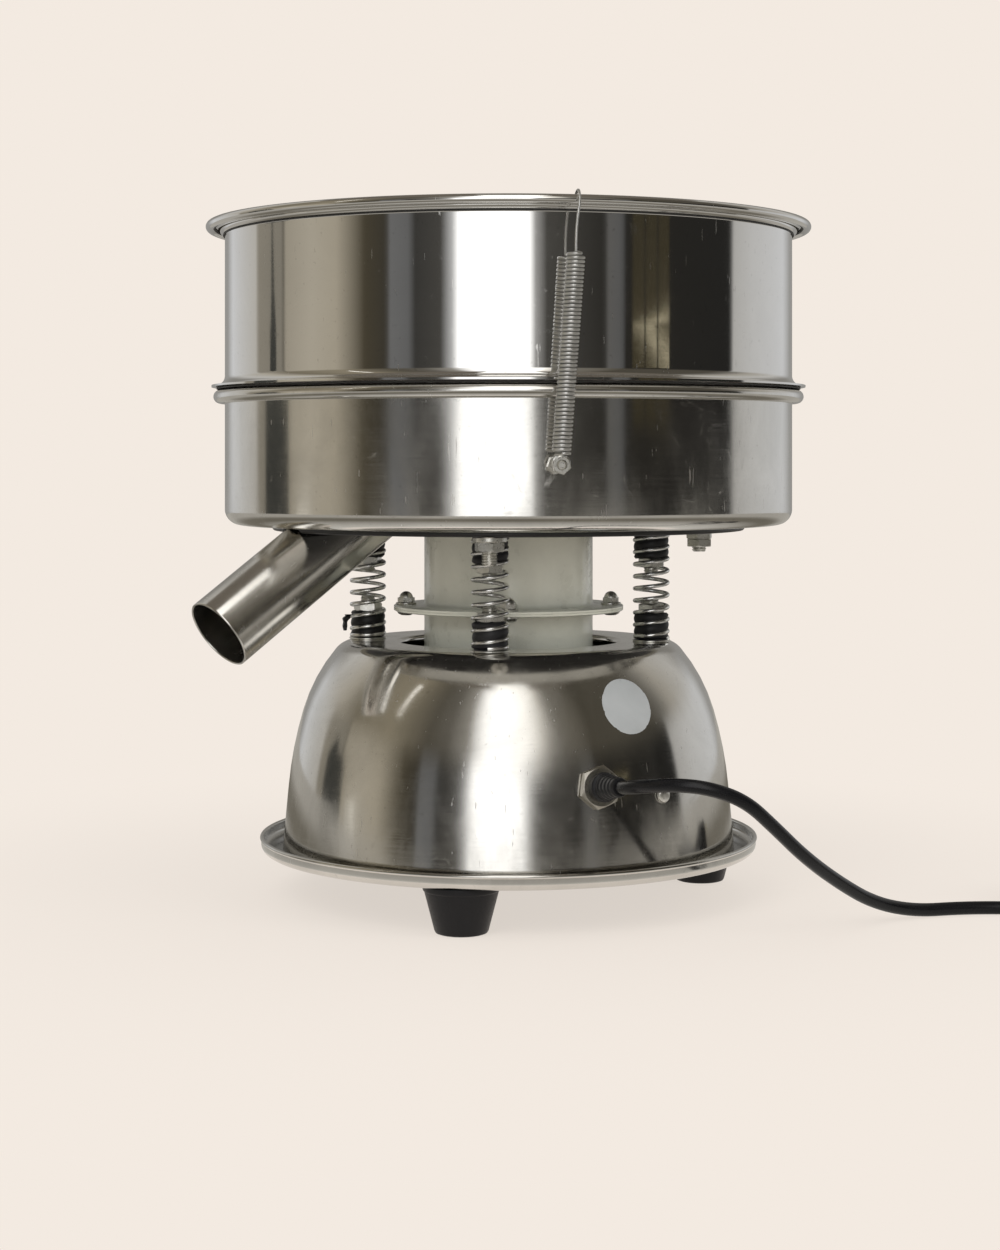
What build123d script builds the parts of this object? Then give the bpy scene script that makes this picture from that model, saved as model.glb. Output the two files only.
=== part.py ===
"""Tabletop vibrating sieve: a sprung motor deck over a domed base, with a hopper ring above.

Millimetres, +Z up, the origin on the floor under the machine's axis, the front towards -Y.
A bearing is an angle about +Z, counted from +X, so the front is at -90 degrees.
"""

import os
from math import cos, pi, radians, sin, tan

from build123d import *

os.makedirs("parts", exist_ok=True)

# Sheet metal
sheet = 1.0
seat_gap = 0.3
thread_clearance = 0.03
hole_clearance = 0.25

# Feet and tray
foot_height = 24.0
foot_top_radius = 19.0
foot_bottom_radius = 13.0
foot_circle_radius = 110.0
foot_count = 3
foot_first_bearing = -102.0
foot_screw_radius = 2.5
foot_recess_radius = 6.5
foot_recess_depth = 8.0
tray_radius = 131.0
tray_wall_height = 7.0
tray_corner_radius = 3.5
tray_bead_radius = 1.1

# Dome
dome_height = 109.0
dome_flat_radius = 82.5
dome_hole_radius = 57.7
dome_lip_depth = 3.5
dome_lip_radius = 2.0
shoulder_radii = (12.0, 89.0, 211.0)
shoulder_turns = (50.0, 23.5, 11.1)

# Deck springs, their rubber sleeves and bolts
spring_count = 4
spring_first_bearing = -97.0
spring_circle_radius = 76.0
spring_gap = 59.0
spring_outer_radius = 9.75
spring_wire_radius = 0.95
spring_pitch = 6.4
spring_seat_radius = 9.9
spring_seat_thickness = 1.0
sleeve_length = 14.0
sleeve_lip = 0.3
stud_radius = 4.0
stud_tail = 3.5
nut_flats = 13.0
nut_height = 4.6
bolt_head_height = 3.5

# Deck plate and receiving pan
deck_radius = 125.0
deck_thickness = 3.0
wall_radius = 150.0
pan_height = 70.5
pan_corner_radius = 8.0
pan_bead_radius = 3.5
pan_rim_width = 6.0
deck_bolt_count = 3
deck_bolt_first_bearing = -94.5
deck_bolt_circle_radius = 117.0
deck_washer_radius = 8.5
deck_washer_thickness = 2.5

# Spout, from its open mouth up to the pan floor
spout_radius = 19.0
spout_wall = 1.0
spout_mouth = (-144.1, -85.0, 143.5)
spout_bearing = -143.0
spout_slope = 34.3
spout_plate_clearance = 1.5

# Motor
motor_radius = 44.8
motor_shell = 1.5
motor_flange_radius = 61.0
motor_length = 87.0
motor_upper_length = 41.5
motor_flange_bolt_circle = 54.5
motor_flange_bolt_radius = 2.5
motor_flange_bolt_count = 4
motor_bolt_head_height = 3.0
motor_bolt_tail = 7.0
motor_nut_collar = 1.0
motor_nut_height = 4.0
motor_mount_circle = 32.0
motor_mount_tail = 4.0
bearing_outer_radius = 14.0
bearing_width = 8.0
bearing_boss_wall = 3.0
shaft_radius = 6.0
running_gap = 0.05
shaft_reach = 32.0
stator_inner_radius = 23.0
stator_length = 28.0
stator_slots = 12
winding_height = 6.0
air_gap = 0.4
weight_radius = 34.0
weight_thickness = 9.0
weight_boss_radius = 11.0

# Hopper ring and screen
ring_height = 86.5
ring_flange_width = 7.0
rim_width = 10.0
rim_bead_radius = 2.4
ring_fillet_radius = 2.5
rim_step_radius = 3.5
rim_step_turn = 60.0
rim_turn_radius = 1.8
gasket_thickness = 0.8
gasket_width = 6.0
cloth_thickness = 0.4

# Spring clamps that hold the hopper ring down
clamp_count = 3
clamp_stud_bearing = -81.4
clamp_stud_drop = 38.5
front_clamp_lean = 4.2
clamp_stud_radius = 2.5
clamp_nut_flats = 8.0
clamp_nut_height = 3.0
clamp_coil_radius = 4.6
clamp_wire_radius = 0.65
clamp_coil_length = 94.0
hook_clearance = 0.6
hook_rise = 2.2
hook_drop = 7.0

# Cable gland, cord and plug
gland_bearing = -67.6
gland_height = 70.5
gland_tilt = 7.5
gland_hole_radius = 7.2
gland_nut_flats = 19.0
gland_nut_height = 4.0
gland_lock_height = 3.0
relief_length = 22.0
relief_root_radius = 7.2
relief_tip_radius = 4.8
cord_radius = 3.3
cord_length = 1500.0
coil_centre_x = 302.0
coil_turns = 5.25
coil_columns = 2
coil_rows = 3
plug_radius = 16.5
plug_length = 34.0
plug_pin_radius = 2.4
plug_pin_length = 19.0
plug_pin_spacing = 19.0
tail_length = 40.0

# Dome fixing screws and the motor's capacitor
dome_screw_count = 2
dome_screw_first_bearing = -48.8
dome_screw_height = 64.0
dome_screw_radius = 2.0
bracket_width = 16.0
bracket_sheet = 1.5
capacitor_radius = 15.0
capacitor_length = 50.0

# Heights that follow from the sizes above
tray_floor_top = foot_height + sheet
dome_top = tray_floor_top + dome_height
deck_bottom = dome_top + spring_gap
deck_top = deck_bottom + deck_thickness
pan_floor_top = deck_top + sheet
pan_top = deck_top + pan_height
motor_split_height = deck_bottom - motor_upper_length
motor_base_height = deck_bottom - motor_length
shaft_bottom_height = motor_base_height - shaft_reach
clamp_stud_height = pan_top - clamp_stud_drop
gasket_bottom = pan_top + seat_gap
cloth_bottom = gasket_bottom + gasket_thickness
ring_bottom = cloth_bottom + cloth_thickness
ring_top = ring_bottom + ring_height
hook_top_height = ring_top + hook_rise

# Radii that follow from the wall's
pan_rim_radius = wall_radius + pan_rim_width
ring_flange_radius = wall_radius + ring_flange_width
rim_radius = wall_radius + rim_width
clamp_radius = ring_flange_radius + seat_gap + clamp_coil_radius


def save(part, name):
    """Label a finished piece and write its file."""
    part.label = name
    export_step(part, f"parts/{name}.step")


def polar(radius, bearing, height=0.0):
    """A point at a radius, bearing and height about the machine's axis."""
    return (
        radius * cos(radians(bearing)),
        radius * sin(radians(bearing)),
        height,
    )


def radial_plane(radius, bearing, height, tilt=0.0):
    """A plane whose normal points outward from the axis, tilted upward by tilt degrees."""
    outward = (
        cos(radians(bearing)) * cos(radians(tilt)),
        sin(radians(bearing)) * cos(radians(tilt)),
        sin(radians(tilt)),
    )
    sideways = (-sin(radians(bearing)), cos(radians(bearing)), 0)
    return Plane(origin=polar(radius, bearing, height), x_dir=sideways, z_dir=outward)


def dome_wall_radius(height):
    """The dome's outer radius on its long lower curve, at a height above the floor."""
    turned = 0.0
    centre_x = dome_flat_radius
    centre_z = dome_top - shoulder_radii[0]
    for index, turn in enumerate(shoulder_turns[:-1]):
        turned += turn
        change = shoulder_radii[index] - shoulder_radii[index + 1]
        centre_x += change * sin(radians(turned))
        centre_z += change * cos(radians(turned))
    reach = shoulder_radii[-1]
    return centre_x + (reach**2 - (height - centre_z) ** 2) ** 0.5


# Feet: tapered rubber with a sunk fixing screw
feet_places = [
    ("foot_front", foot_first_bearing),
    ("foot_right", foot_first_bearing + 120),
    ("foot_left", foot_first_bearing - 120),
]
for foot_name, bearing in feet_places:
    with BuildPart() as foot:
        with Locations(polar(foot_circle_radius, bearing)):
            Cone(
                foot_bottom_radius,
                foot_top_radius,
                foot_height,
                align=(Align.CENTER, Align.CENTER, Align.MIN),
            )
        fillet(foot.edges().group_by(Axis.Z)[0], 1.5)
        with Locations(Plane(origin=polar(foot_circle_radius, bearing), z_dir=(0, 0, -1))):
            CounterBoreHole(foot_screw_radius + hole_clearance, foot_recess_radius, foot_recess_depth)
    save(foot.part, foot_name)

foot_spots = PolarLocations(foot_circle_radius, foot_count, foot_first_bearing)

# Tray: a shallow dish with a wired edge
with BuildPart() as base_tray:
    with BuildSketch(Plane.XZ):
        with BuildLine():
            tray_floor = Line(
                (0, foot_height + sheet / 2),
                (tray_radius - sheet / 2 - tray_corner_radius, foot_height + sheet / 2),
            )
            tray_corner = JernArc(tray_floor @ 1, tray_floor % 1, tray_corner_radius, 90)
            Line(tray_corner @ 1, (tray_radius - sheet / 2, foot_height + tray_wall_height))
        trace(line_width=sheet)
        with Locations((tray_radius - sheet / 2, foot_height + tray_wall_height)):
            Circle(tray_bead_radius)
    revolve(axis=Axis.Z)
    with BuildSketch(Plane.XY.offset(foot_height - sheet)):
        with foot_spots:
            Circle(foot_screw_radius + hole_clearance)
    extrude(amount=3 * sheet, mode=Mode.SUBTRACT)
save(base_tray.part, "base_tray")

# Foot screws: a pan head in the foot's recess, the shank up through the tray and a nut on top
with BuildPart() as foot_screws:
    with BuildSketch(Plane.XY.offset(foot_recess_depth - 3.0)):
        with foot_spots:
            Circle(2 * foot_screw_radius)
    extrude(amount=3.0)
    with BuildSketch(Plane.XY.offset(foot_recess_depth)):
        with foot_spots:
            Circle(foot_screw_radius)
    extrude(amount=tray_floor_top + 6.0 - foot_recess_depth)
save(foot_screws.part, "foot_screws")

with BuildPart() as foot_nuts:
    with BuildSketch(Plane.XY.offset(tray_floor_top)):
        with foot_spots:
            RegularPolygon(foot_screw_radius * 1.6, 6, major_radius=False)
            Circle(foot_screw_radius + thread_clearance, mode=Mode.SUBTRACT)
    extrude(amount=4.0)
save(foot_nuts.part, "foot_nuts")

# Dome: an inverted bowl drawn from the lip of its top hole down to the tray
gland_face = radial_plane(dome_wall_radius(gland_height), gland_bearing, gland_height, gland_tilt)
with BuildPart() as base_dome:
    with BuildSketch(Plane.XZ):
        with BuildLine():
            lip = Line(
                (dome_hole_radius + sheet / 2, dome_top - dome_lip_depth),
                (dome_hole_radius + sheet / 2, dome_top - sheet / 2 - dome_lip_radius),
            )
            lip_curl = JernArc(lip @ 1, lip % 1, dome_lip_radius, -90)
            flat = Line(lip_curl @ 1, (dome_flat_radius, dome_top - sheet / 2))
            course = flat
            for radius, turn in zip(shoulder_radii, shoulder_turns):
                course = JernArc(course @ 1, course % 1, radius - sheet / 2, -turn)
            PolarLine(
                course @ 1,
                (course @ 1).Y - foot_height,
                direction=course % 1,
                length_mode=LengthMode.VERTICAL,
            )
        trace(line_width=sheet)
    revolve(axis=Axis.Z)
    split(bisect_by=Plane.XY.offset(tray_floor_top), keep=Keep.TOP)
    with BuildSketch(Plane.XY.offset(dome_top - 2 * sheet)):
        with PolarLocations(spring_circle_radius, spring_count, spring_first_bearing):
            Circle(stud_radius + hole_clearance)
    extrude(amount=3 * sheet, mode=Mode.SUBTRACT)
    with BuildSketch(gland_face):
        Circle(gland_hole_radius + hole_clearance)
    extrude(amount=gland_hole_radius, both=True, mode=Mode.SUBTRACT)
    for number in range(dome_screw_count):
        bearing = dome_screw_first_bearing + number * 360 / dome_screw_count
        with BuildSketch(radial_plane(0, bearing, dome_screw_height)):
            Circle(dome_screw_radius + hole_clearance)
        extrude(amount=wall_radius, mode=Mode.SUBTRACT)
save(base_dome.part, "base_dome")

# Spring seats: one washer on the dome and one under the deck plate at each spring
spring_spots = PolarLocations(spring_circle_radius, spring_count, spring_first_bearing)
with BuildPart() as lower_spring_seats:
    with BuildSketch(Plane.XY.offset(dome_top)):
        with spring_spots:
            Circle(spring_seat_radius)
            Circle(stud_radius + hole_clearance, mode=Mode.SUBTRACT)
    extrude(amount=spring_seat_thickness)
save(lower_spring_seats.part, "lower_spring_seats")

with BuildPart() as upper_spring_seats:
    with BuildSketch(Plane.XY.offset(deck_bottom)):
        with spring_spots:
            Circle(spring_seat_radius)
            Circle(stud_radius + hole_clearance, mode=Mode.SUBTRACT)
    extrude(amount=-spring_seat_thickness)
save(upper_spring_seats.part, "upper_spring_seats")

lower_sleeve_foot = dome_top + spring_seat_thickness
upper_sleeve_foot = deck_bottom - spring_seat_thickness
sleeve_radius = spring_outer_radius - 2 * spring_wire_radius - sleeve_lip

# Rubber sleeves that the coils grip, one standing on the dome and one hanging from the deck
with BuildPart() as lower_sleeves:
    with BuildSketch(Plane.XY.offset(lower_sleeve_foot)):
        with spring_spots:
            Circle(sleeve_radius)
            Circle(stud_radius + thread_clearance, mode=Mode.SUBTRACT)
    extrude(amount=sleeve_length)
save(lower_sleeves.part, "lower_sleeves")

with BuildPart() as upper_sleeves:
    with BuildSketch(Plane.XY.offset(upper_sleeve_foot)):
        with spring_spots:
            Circle(sleeve_radius)
            Circle(stud_radius + thread_clearance, mode=Mode.SUBTRACT)
    extrude(amount=-sleeve_length)
save(upper_sleeves.part, "upper_sleeves")

# Sleeve bolts: heads inside the dome and inside the pan, tails towards each other
with BuildPart() as lower_studs:
    with BuildSketch(Plane.XY.offset(dome_top - sheet)):
        with spring_spots:
            RegularPolygon(nut_flats / 2, 6, major_radius=False, rotation=30)
    extrude(amount=-bolt_head_height)
    with BuildSketch(Plane.XY.offset(dome_top - sheet)):
        with spring_spots:
            Circle(stud_radius)
    extrude(amount=sheet + spring_seat_thickness + sleeve_length + nut_height + stud_tail)
    chamfer(lower_studs.edges().group_by(Axis.Z)[-1], 0.8)
save(lower_studs.part, "lower_studs")

with BuildPart() as lower_nuts:
    with BuildSketch(Plane.XY.offset(lower_sleeve_foot + sleeve_length)):
        with spring_spots:
            RegularPolygon(nut_flats / 2, 6, major_radius=False)
            Circle(stud_radius + thread_clearance, mode=Mode.SUBTRACT)
    extrude(amount=nut_height)
save(lower_nuts.part, "lower_nuts")

with BuildPart() as upper_studs:
    with BuildSketch(Plane.XY.offset(pan_floor_top)):
        with spring_spots:
            RegularPolygon(nut_flats / 2, 6, major_radius=False)
    extrude(amount=bolt_head_height)
    with BuildSketch(Plane.XY.offset(pan_floor_top)):
        with spring_spots:
            Circle(stud_radius)
    extrude(amount=-(sheet + deck_thickness + spring_seat_thickness + sleeve_length + nut_height + stud_tail))
    chamfer(upper_studs.edges().group_by(Axis.Z)[0], 0.8)
save(upper_studs.part, "upper_studs")

with BuildPart() as upper_nuts:
    with BuildSketch(Plane.XY.offset(upper_sleeve_foot - sleeve_length)):
        with spring_spots:
            RegularPolygon(nut_flats / 2, 6, major_radius=False)
            Circle(stud_radius + thread_clearance, mode=Mode.SUBTRACT)
    extrude(amount=-nut_height)
save(upper_nuts.part, "upper_nuts")

# Deck springs: round wire wound between the two seats
coil_radius = spring_outer_radius - spring_wire_radius
spring_foot = lower_sleeve_foot + spring_wire_radius + running_gap
spring_rise = upper_sleeve_foot - lower_sleeve_foot - 2 * (spring_wire_radius + running_gap)
spring_names = ("spring_front", "spring_right", "spring_back", "spring_left")
for number, spring_name in enumerate(spring_names):
    bearing = spring_first_bearing + number * 360 / spring_count
    with BuildPart() as deck_spring:
        with BuildLine() as winding:
            Helix(
                spring_pitch,
                spring_rise,
                coil_radius,
                center=polar(spring_circle_radius, bearing, spring_foot),
            )
        with BuildSketch(Plane(origin=winding.line @ 0, z_dir=winding.line % 0)):
            RegularPolygon(spring_wire_radius, 6)
        sweep(path=winding.line, is_frenet=True)
    save(deck_spring.part, spring_name)

# Spout: a straight tube from the pan's floor down to its open mouth, passing the pan's axis on one side
spout_up = Vector(1, 0, 0).rotate(Axis.Y, -spout_slope).rotate(Axis.Z, spout_bearing + 180)
mouth = Vector(*spout_mouth)
spout_rise = deck_top + 2 * spout_radius - mouth.Z


def spout_solid(radius):
    """A solid rod along the spout, from its mouth to above the pan's floor."""
    with BuildPart() as rod:
        with BuildSketch(Plane(origin=mouth, z_dir=spout_up)):
            Circle(radius)
        extrude(amount=spout_rise / sin(radians(spout_slope)))
    return rod.part


spout_bore = spout_solid(spout_radius - spout_wall)
with BuildPart() as spout:
    add(spout_solid(spout_radius))
    add(spout_bore, mode=Mode.SUBTRACT)
    split(bisect_by=Plane.XY.offset(deck_top), keep=Keep.BOTTOM)
save(spout.part, "spout")

# Deck plate: a round steel plate with an opening where the spout passes
deck_bolt_spots = PolarLocations(deck_bolt_circle_radius, deck_bolt_count, deck_bolt_first_bearing)
mount_spots = PolarLocations(motor_mount_circle, 4, 45)
with BuildPart() as deck_plate:
    with BuildSketch(Plane.XY.offset(deck_bottom)):
        Circle(deck_radius)
        with spring_spots:
            Circle(stud_radius + hole_clearance, mode=Mode.SUBTRACT)
        with deck_bolt_spots:
            Circle(stud_radius + hole_clearance, mode=Mode.SUBTRACT)
        with mount_spots:
            Circle(motor_flange_bolt_radius + hole_clearance, mode=Mode.SUBTRACT)
    extrude(amount=deck_thickness)
    add(spout_solid(spout_radius + spout_plate_clearance), mode=Mode.SUBTRACT)
save(deck_plate.part, "deck_plate")

# Receiving pan: a drawn bowl with a rolled rim and an opening over the spout
with BuildPart() as lower_pan:
    with BuildSketch(Plane.XZ):
        with BuildLine():
            pan_floor = Line(
                (0, deck_top + sheet / 2),
                (wall_radius - pan_corner_radius, deck_top + sheet / 2),
            )
            pan_corner = JernArc(pan_floor @ 1, pan_floor % 1, pan_corner_radius - sheet / 2, 90)
            Line(pan_corner @ 1, (wall_radius - sheet / 2, pan_top - pan_bead_radius))
        trace(line_width=sheet)
        with Locations((pan_rim_radius - pan_bead_radius, pan_top - pan_bead_radius)):
            Circle(pan_bead_radius)
    revolve(axis=Axis.Z)
    with BuildSketch(Plane.XY.offset(deck_top - sheet)):
        with spring_spots:
            Circle(stud_radius + hole_clearance)
        with deck_bolt_spots:
            Circle(stud_radius + hole_clearance)
        with mount_spots:
            Circle(motor_flange_bolt_radius + hole_clearance)
    extrude(amount=3 * sheet, mode=Mode.SUBTRACT)
    add(spout_bore, mode=Mode.SUBTRACT)
    for number in range(clamp_count):
        bearing = clamp_stud_bearing + number * 360 / clamp_count
        with BuildSketch(radial_plane(0, bearing, clamp_stud_height)):
            Circle(clamp_stud_radius + hole_clearance)
        extrude(amount=2 * wall_radius, mode=Mode.SUBTRACT)
save(lower_pan.part, "lower_pan")

# Bolts that hold the pan to the deck plate, heads in the pan, washers and nuts below
with BuildPart() as deck_bolts:
    with BuildSketch(Plane.XY.offset(pan_floor_top)):
        with deck_bolt_spots:
            Circle(nut_flats / 2)
    extrude(amount=bolt_head_height)
    fillet(deck_bolts.edges().group_by(Axis.Z)[-1], 1.5)
    with BuildSketch(Plane.XY.offset(pan_floor_top)):
        with deck_bolt_spots:
            Circle(stud_radius)
    extrude(amount=-(sheet + deck_thickness + deck_washer_thickness + nut_height + 2 * stud_tail))
    chamfer(deck_bolts.edges().group_by(Axis.Z)[0], 0.8)
save(deck_bolts.part, "deck_bolts")

with BuildPart() as deck_washers:
    with BuildSketch(Plane.XY.offset(deck_bottom)):
        with deck_bolt_spots:
            Circle(deck_washer_radius)
            Circle(stud_radius + hole_clearance, mode=Mode.SUBTRACT)
    extrude(amount=-deck_washer_thickness)
save(deck_washers.part, "deck_washers")

with BuildPart() as deck_nuts:
    with BuildSketch(Plane.XY.offset(deck_bottom - deck_washer_thickness)):
        with deck_bolt_spots:
            RegularPolygon(nut_flats / 2, 6, major_radius=False)
            Circle(stud_radius + thread_clearance, mode=Mode.SUBTRACT)
    extrude(amount=-nut_height)
save(deck_nuts.part, "deck_nuts")

# Motor: two drawn cups bolted at their flanges, each with a bearing boss
flange_spots = PolarLocations(motor_flange_bolt_circle, motor_flange_bolt_count)


def motor_cup(end_height, towards_end):
    """One cup of the motor's housing, from its end wall to its flange at the split."""
    inward = -towards_end
    with BuildPart() as cup:
        with BuildSketch(Plane.XY.offset(end_height)):
            Circle(motor_radius)
        extrude(amount=inward * abs(end_height - motor_split_height))
        fillet(cup.faces().filter_by(Plane.XY).sort_by(Axis.Z)[0 if towards_end < 0 else -1].edges(), 2.5)
        with BuildSketch(Plane.XY.offset(motor_split_height)):
            Circle(motor_flange_radius)
            with flange_spots:
                Circle(motor_flange_bolt_radius + hole_clearance, mode=Mode.SUBTRACT)
        extrude(amount=towards_end * motor_shell)
        with BuildSketch(Plane.XY.offset(motor_split_height)):
            Circle(motor_radius - motor_shell)
        extrude(amount=towards_end * (abs(end_height - motor_split_height) - motor_shell), mode=Mode.SUBTRACT)
        with BuildSketch(Plane.XY.offset(end_height + inward * motor_shell)):
            Circle(bearing_outer_radius + bearing_boss_wall)
        extrude(amount=inward * (bearing_width + motor_shell))
        with BuildSketch(Plane.XY.offset(end_height + inward * 2 * motor_shell)):
            Circle(bearing_outer_radius)
        extrude(amount=inward * (bearing_width + motor_shell), mode=Mode.SUBTRACT)
        if towards_end < 0:
            with BuildSketch(Plane.XY.offset(end_height - sheet)):
                Circle(shaft_radius + 4 * hole_clearance)
            extrude(amount=4 * motor_shell, mode=Mode.SUBTRACT)
        else:
            with BuildSketch(Plane.XY.offset(end_height + sheet)):
                with mount_spots:
                    Circle(motor_flange_bolt_radius + hole_clearance)
            extrude(amount=-4 * motor_shell, mode=Mode.SUBTRACT)
    return cup.part


save(motor_cup(deck_bottom, 1), "motor_upper_housing")
save(motor_cup(motor_base_height, -1), "motor_lower_housing")

with BuildPart() as motor_flange_bolts:
    with BuildSketch(Plane.XY.offset(motor_split_height - motor_shell)):
        with flange_spots:
            Circle(2 * motor_flange_bolt_radius)
    extrude(amount=-motor_bolt_head_height)
    fillet(motor_flange_bolts.edges().group_by(Axis.Z)[0], 0.6 * motor_bolt_head_height)
    with BuildSketch(Plane.XY.offset(motor_split_height - motor_shell)):
        with flange_spots:
            Circle(motor_flange_bolt_radius)
    extrude(amount=2 * motor_shell + motor_bolt_tail)
save(motor_flange_bolts.part, "motor_flange_bolts")

with BuildPart() as motor_flange_nuts:
    with BuildSketch(Plane.XY.offset(motor_split_height + motor_shell)):
        with flange_spots:
            Circle(2.2 * motor_flange_bolt_radius)
            Circle(motor_flange_bolt_radius + thread_clearance, mode=Mode.SUBTRACT)
    extrude(amount=motor_nut_collar)
    with BuildSketch(Plane.XY.offset(motor_split_height + motor_shell + motor_nut_collar)):
        with flange_spots:
            RegularPolygon(1.6 * motor_flange_bolt_radius, 6, major_radius=False)
            Circle(motor_flange_bolt_radius + thread_clearance, mode=Mode.SUBTRACT)
    extrude(amount=motor_nut_height)
save(motor_flange_nuts.part, "motor_flange_nuts")

with BuildPart() as motor_mount_screws:
    with BuildSketch(Plane.XY.offset(pan_floor_top)):
        with mount_spots:
            Circle(2 * motor_flange_bolt_radius)
    extrude(amount=motor_bolt_head_height)
    fillet(motor_mount_screws.edges().group_by(Axis.Z)[-1], 0.4 * motor_bolt_head_height)
    with BuildSketch(Plane.XY.offset(pan_floor_top)):
        with mount_spots:
            Circle(motor_flange_bolt_radius)
    extrude(amount=-(sheet + deck_thickness + motor_shell + motor_mount_tail))
save(motor_mount_screws.part, "motor_mount_screws")

# Stator: laminated ring with open slots, its windings looped above and below
stator_middle = (motor_base_height + deck_bottom) / 2
stator_bottom = stator_middle - stator_length / 2
stator_outer_radius = motor_radius - motor_shell
slot_reach = (stator_outer_radius - stator_inner_radius) * 0.6
with BuildPart() as stator_core:
    with BuildSketch(Plane.XY.offset(stator_bottom)):
        Circle(stator_outer_radius)
        Circle(stator_inner_radius, mode=Mode.SUBTRACT)
        with PolarLocations(stator_inner_radius + slot_reach / 2, stator_slots):
            Rectangle(slot_reach + 2 * sheet, 5.0, mode=Mode.SUBTRACT)
    extrude(amount=stator_length)
save(stator_core.part, "stator_core")

winding_inner = stator_inner_radius + 3.0
winding_outer = stator_inner_radius + slot_reach
with BuildPart() as stator_windings:
    for level in (stator_bottom - winding_height / 2, stator_bottom + stator_length + winding_height / 2):
        with BuildSketch(Plane.XZ):
            with Locations(((winding_inner + winding_outer) / 2, level)):
                RectangleRounded(winding_outer - winding_inner, winding_height, 2.5)
        revolve(axis=Axis.Z)
save(stator_windings.part, "stator_windings")

upper_bearing_top = deck_bottom - 2 * motor_shell
lower_bearing_bottom = motor_base_height + 2 * motor_shell
for bearing_name, foot_of_bearing in (
    ("bearing_upper", upper_bearing_top - bearing_width),
    ("bearing_lower", lower_bearing_bottom),
):
    with BuildPart() as ball_bearing:
        with BuildSketch(Plane.XY.offset(foot_of_bearing)):
            Circle(bearing_outer_radius)
            Circle(shaft_radius + running_gap, mode=Mode.SUBTRACT)
        extrude(amount=bearing_width)
    save(ball_bearing.part, bearing_name)

# Rotor: shaft, laminated core and the two weights that are out of balance
shaft_top_height = upper_bearing_top - running_gap
with BuildPart() as motor_shaft:
    with BuildSketch(Plane.XY.offset(shaft_bottom_height)):
        Circle(shaft_radius)
    extrude(amount=shaft_top_height - shaft_bottom_height)
save(motor_shaft.part, "motor_shaft")

with BuildPart() as rotor_core:
    with BuildSketch(Plane.XY.offset(stator_bottom)):
        Circle(stator_inner_radius - air_gap)
        Circle(shaft_radius, mode=Mode.SUBTRACT)
    extrude(amount=stator_length)
save(rotor_core.part, "rotor_core")


def eccentric_weight(bottom, bearing):
    """A half disc with a round boss that grips the shaft."""
    with BuildPart() as weight:
        with BuildSketch(Plane.XY.offset(bottom)):
            with Locations(Location((0, 0, 0), (0, 0, bearing))):
                with BuildLine():
                    chord = Line((0, -weight_radius), (0, weight_radius))
                    ThreePointArc(chord @ 1, (weight_radius, 0), chord @ 0)
                make_face()
            Circle(weight_boss_radius)
            Circle(shaft_radius, mode=Mode.SUBTRACT)
        extrude(amount=weight_thickness)
    return weight.part


upper_weight_bottom = upper_bearing_top - bearing_width - motor_shell - weight_thickness
save(eccentric_weight(upper_weight_bottom, -90), "upper_weight")
save(eccentric_weight(shaft_bottom_height + 4.0, 0), "lower_weight")

# Hopper ring: a rolled sheet wall with a flat foot flange and a stepped, wired rim
rim_bead_centre = (rim_radius - rim_bead_radius, ring_top - rim_bead_radius)
step_rise = 2 * rim_step_radius * sin(radians(rim_step_turn))
wall_end = rim_bead_centre[1] - rim_turn_radius - step_rise
with BuildPart() as upper_ring:
    with BuildSketch(Plane.XZ):
        with BuildLine():
            flange = Line(
                (ring_flange_radius, ring_bottom + sheet / 2),
                (wall_radius - sheet / 2 + ring_fillet_radius, ring_bottom + sheet / 2),
            )
            root = JernArc(flange @ 1, flange % 1, ring_fillet_radius, -90)
            wall = Line(root @ 1, (wall_radius - sheet / 2, wall_end))
            step_out = JernArc(wall @ 1, wall % 1, rim_step_radius, -rim_step_turn)
            step_up = JernArc(step_out @ 1, step_out % 1, rim_step_radius, rim_step_turn)
            turn_out = JernArc(step_up @ 1, step_up % 1, rim_turn_radius, -90)
            Line(turn_out @ 1, rim_bead_centre)
        trace(line_width=sheet)
        with Locations(rim_bead_centre):
            Circle(rim_bead_radius)
    revolve(axis=Axis.Z)
save(upper_ring.part, "upper_ring")

# Screen: woven cloth under the ring's flange, with a rubber gasket that lands on the pan's rim
with BuildPart() as screen_cloth:
    with BuildSketch(Plane.XY.offset(cloth_bottom)):
        Circle(ring_flange_radius)
    extrude(amount=cloth_thickness)
save(screen_cloth.part, "screen_cloth")

with BuildPart() as screen_gasket:
    with BuildSketch(Plane.XY.offset(gasket_bottom)):
        Circle(pan_rim_radius)
        Circle(pan_rim_radius - gasket_width, mode=Mode.SUBTRACT)
    extrude(amount=gasket_thickness)
save(screen_gasket.part, "screen_gasket")

# Clamp studs through the pan wall, with a nut on the wall and one that keeps the spring's eye
stud_reach = clamp_radius - wall_radius
with BuildPart() as clamp_studs:
    for number in range(clamp_count):
        bearing = clamp_stud_bearing + number * 360 / clamp_count
        with BuildSketch(radial_plane(wall_radius - sheet - 2 * seat_gap, bearing, clamp_stud_height)):
            Circle(1.7 * clamp_stud_radius)
        extrude(amount=-2.5)
        with BuildSketch(radial_plane(wall_radius - sheet - 2 * seat_gap, bearing, clamp_stud_height)):
            Circle(clamp_stud_radius)
        extrude(amount=stud_reach + clamp_wire_radius + clamp_nut_height + 2 * sheet)
save(clamp_studs.part, "clamp_studs")

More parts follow.
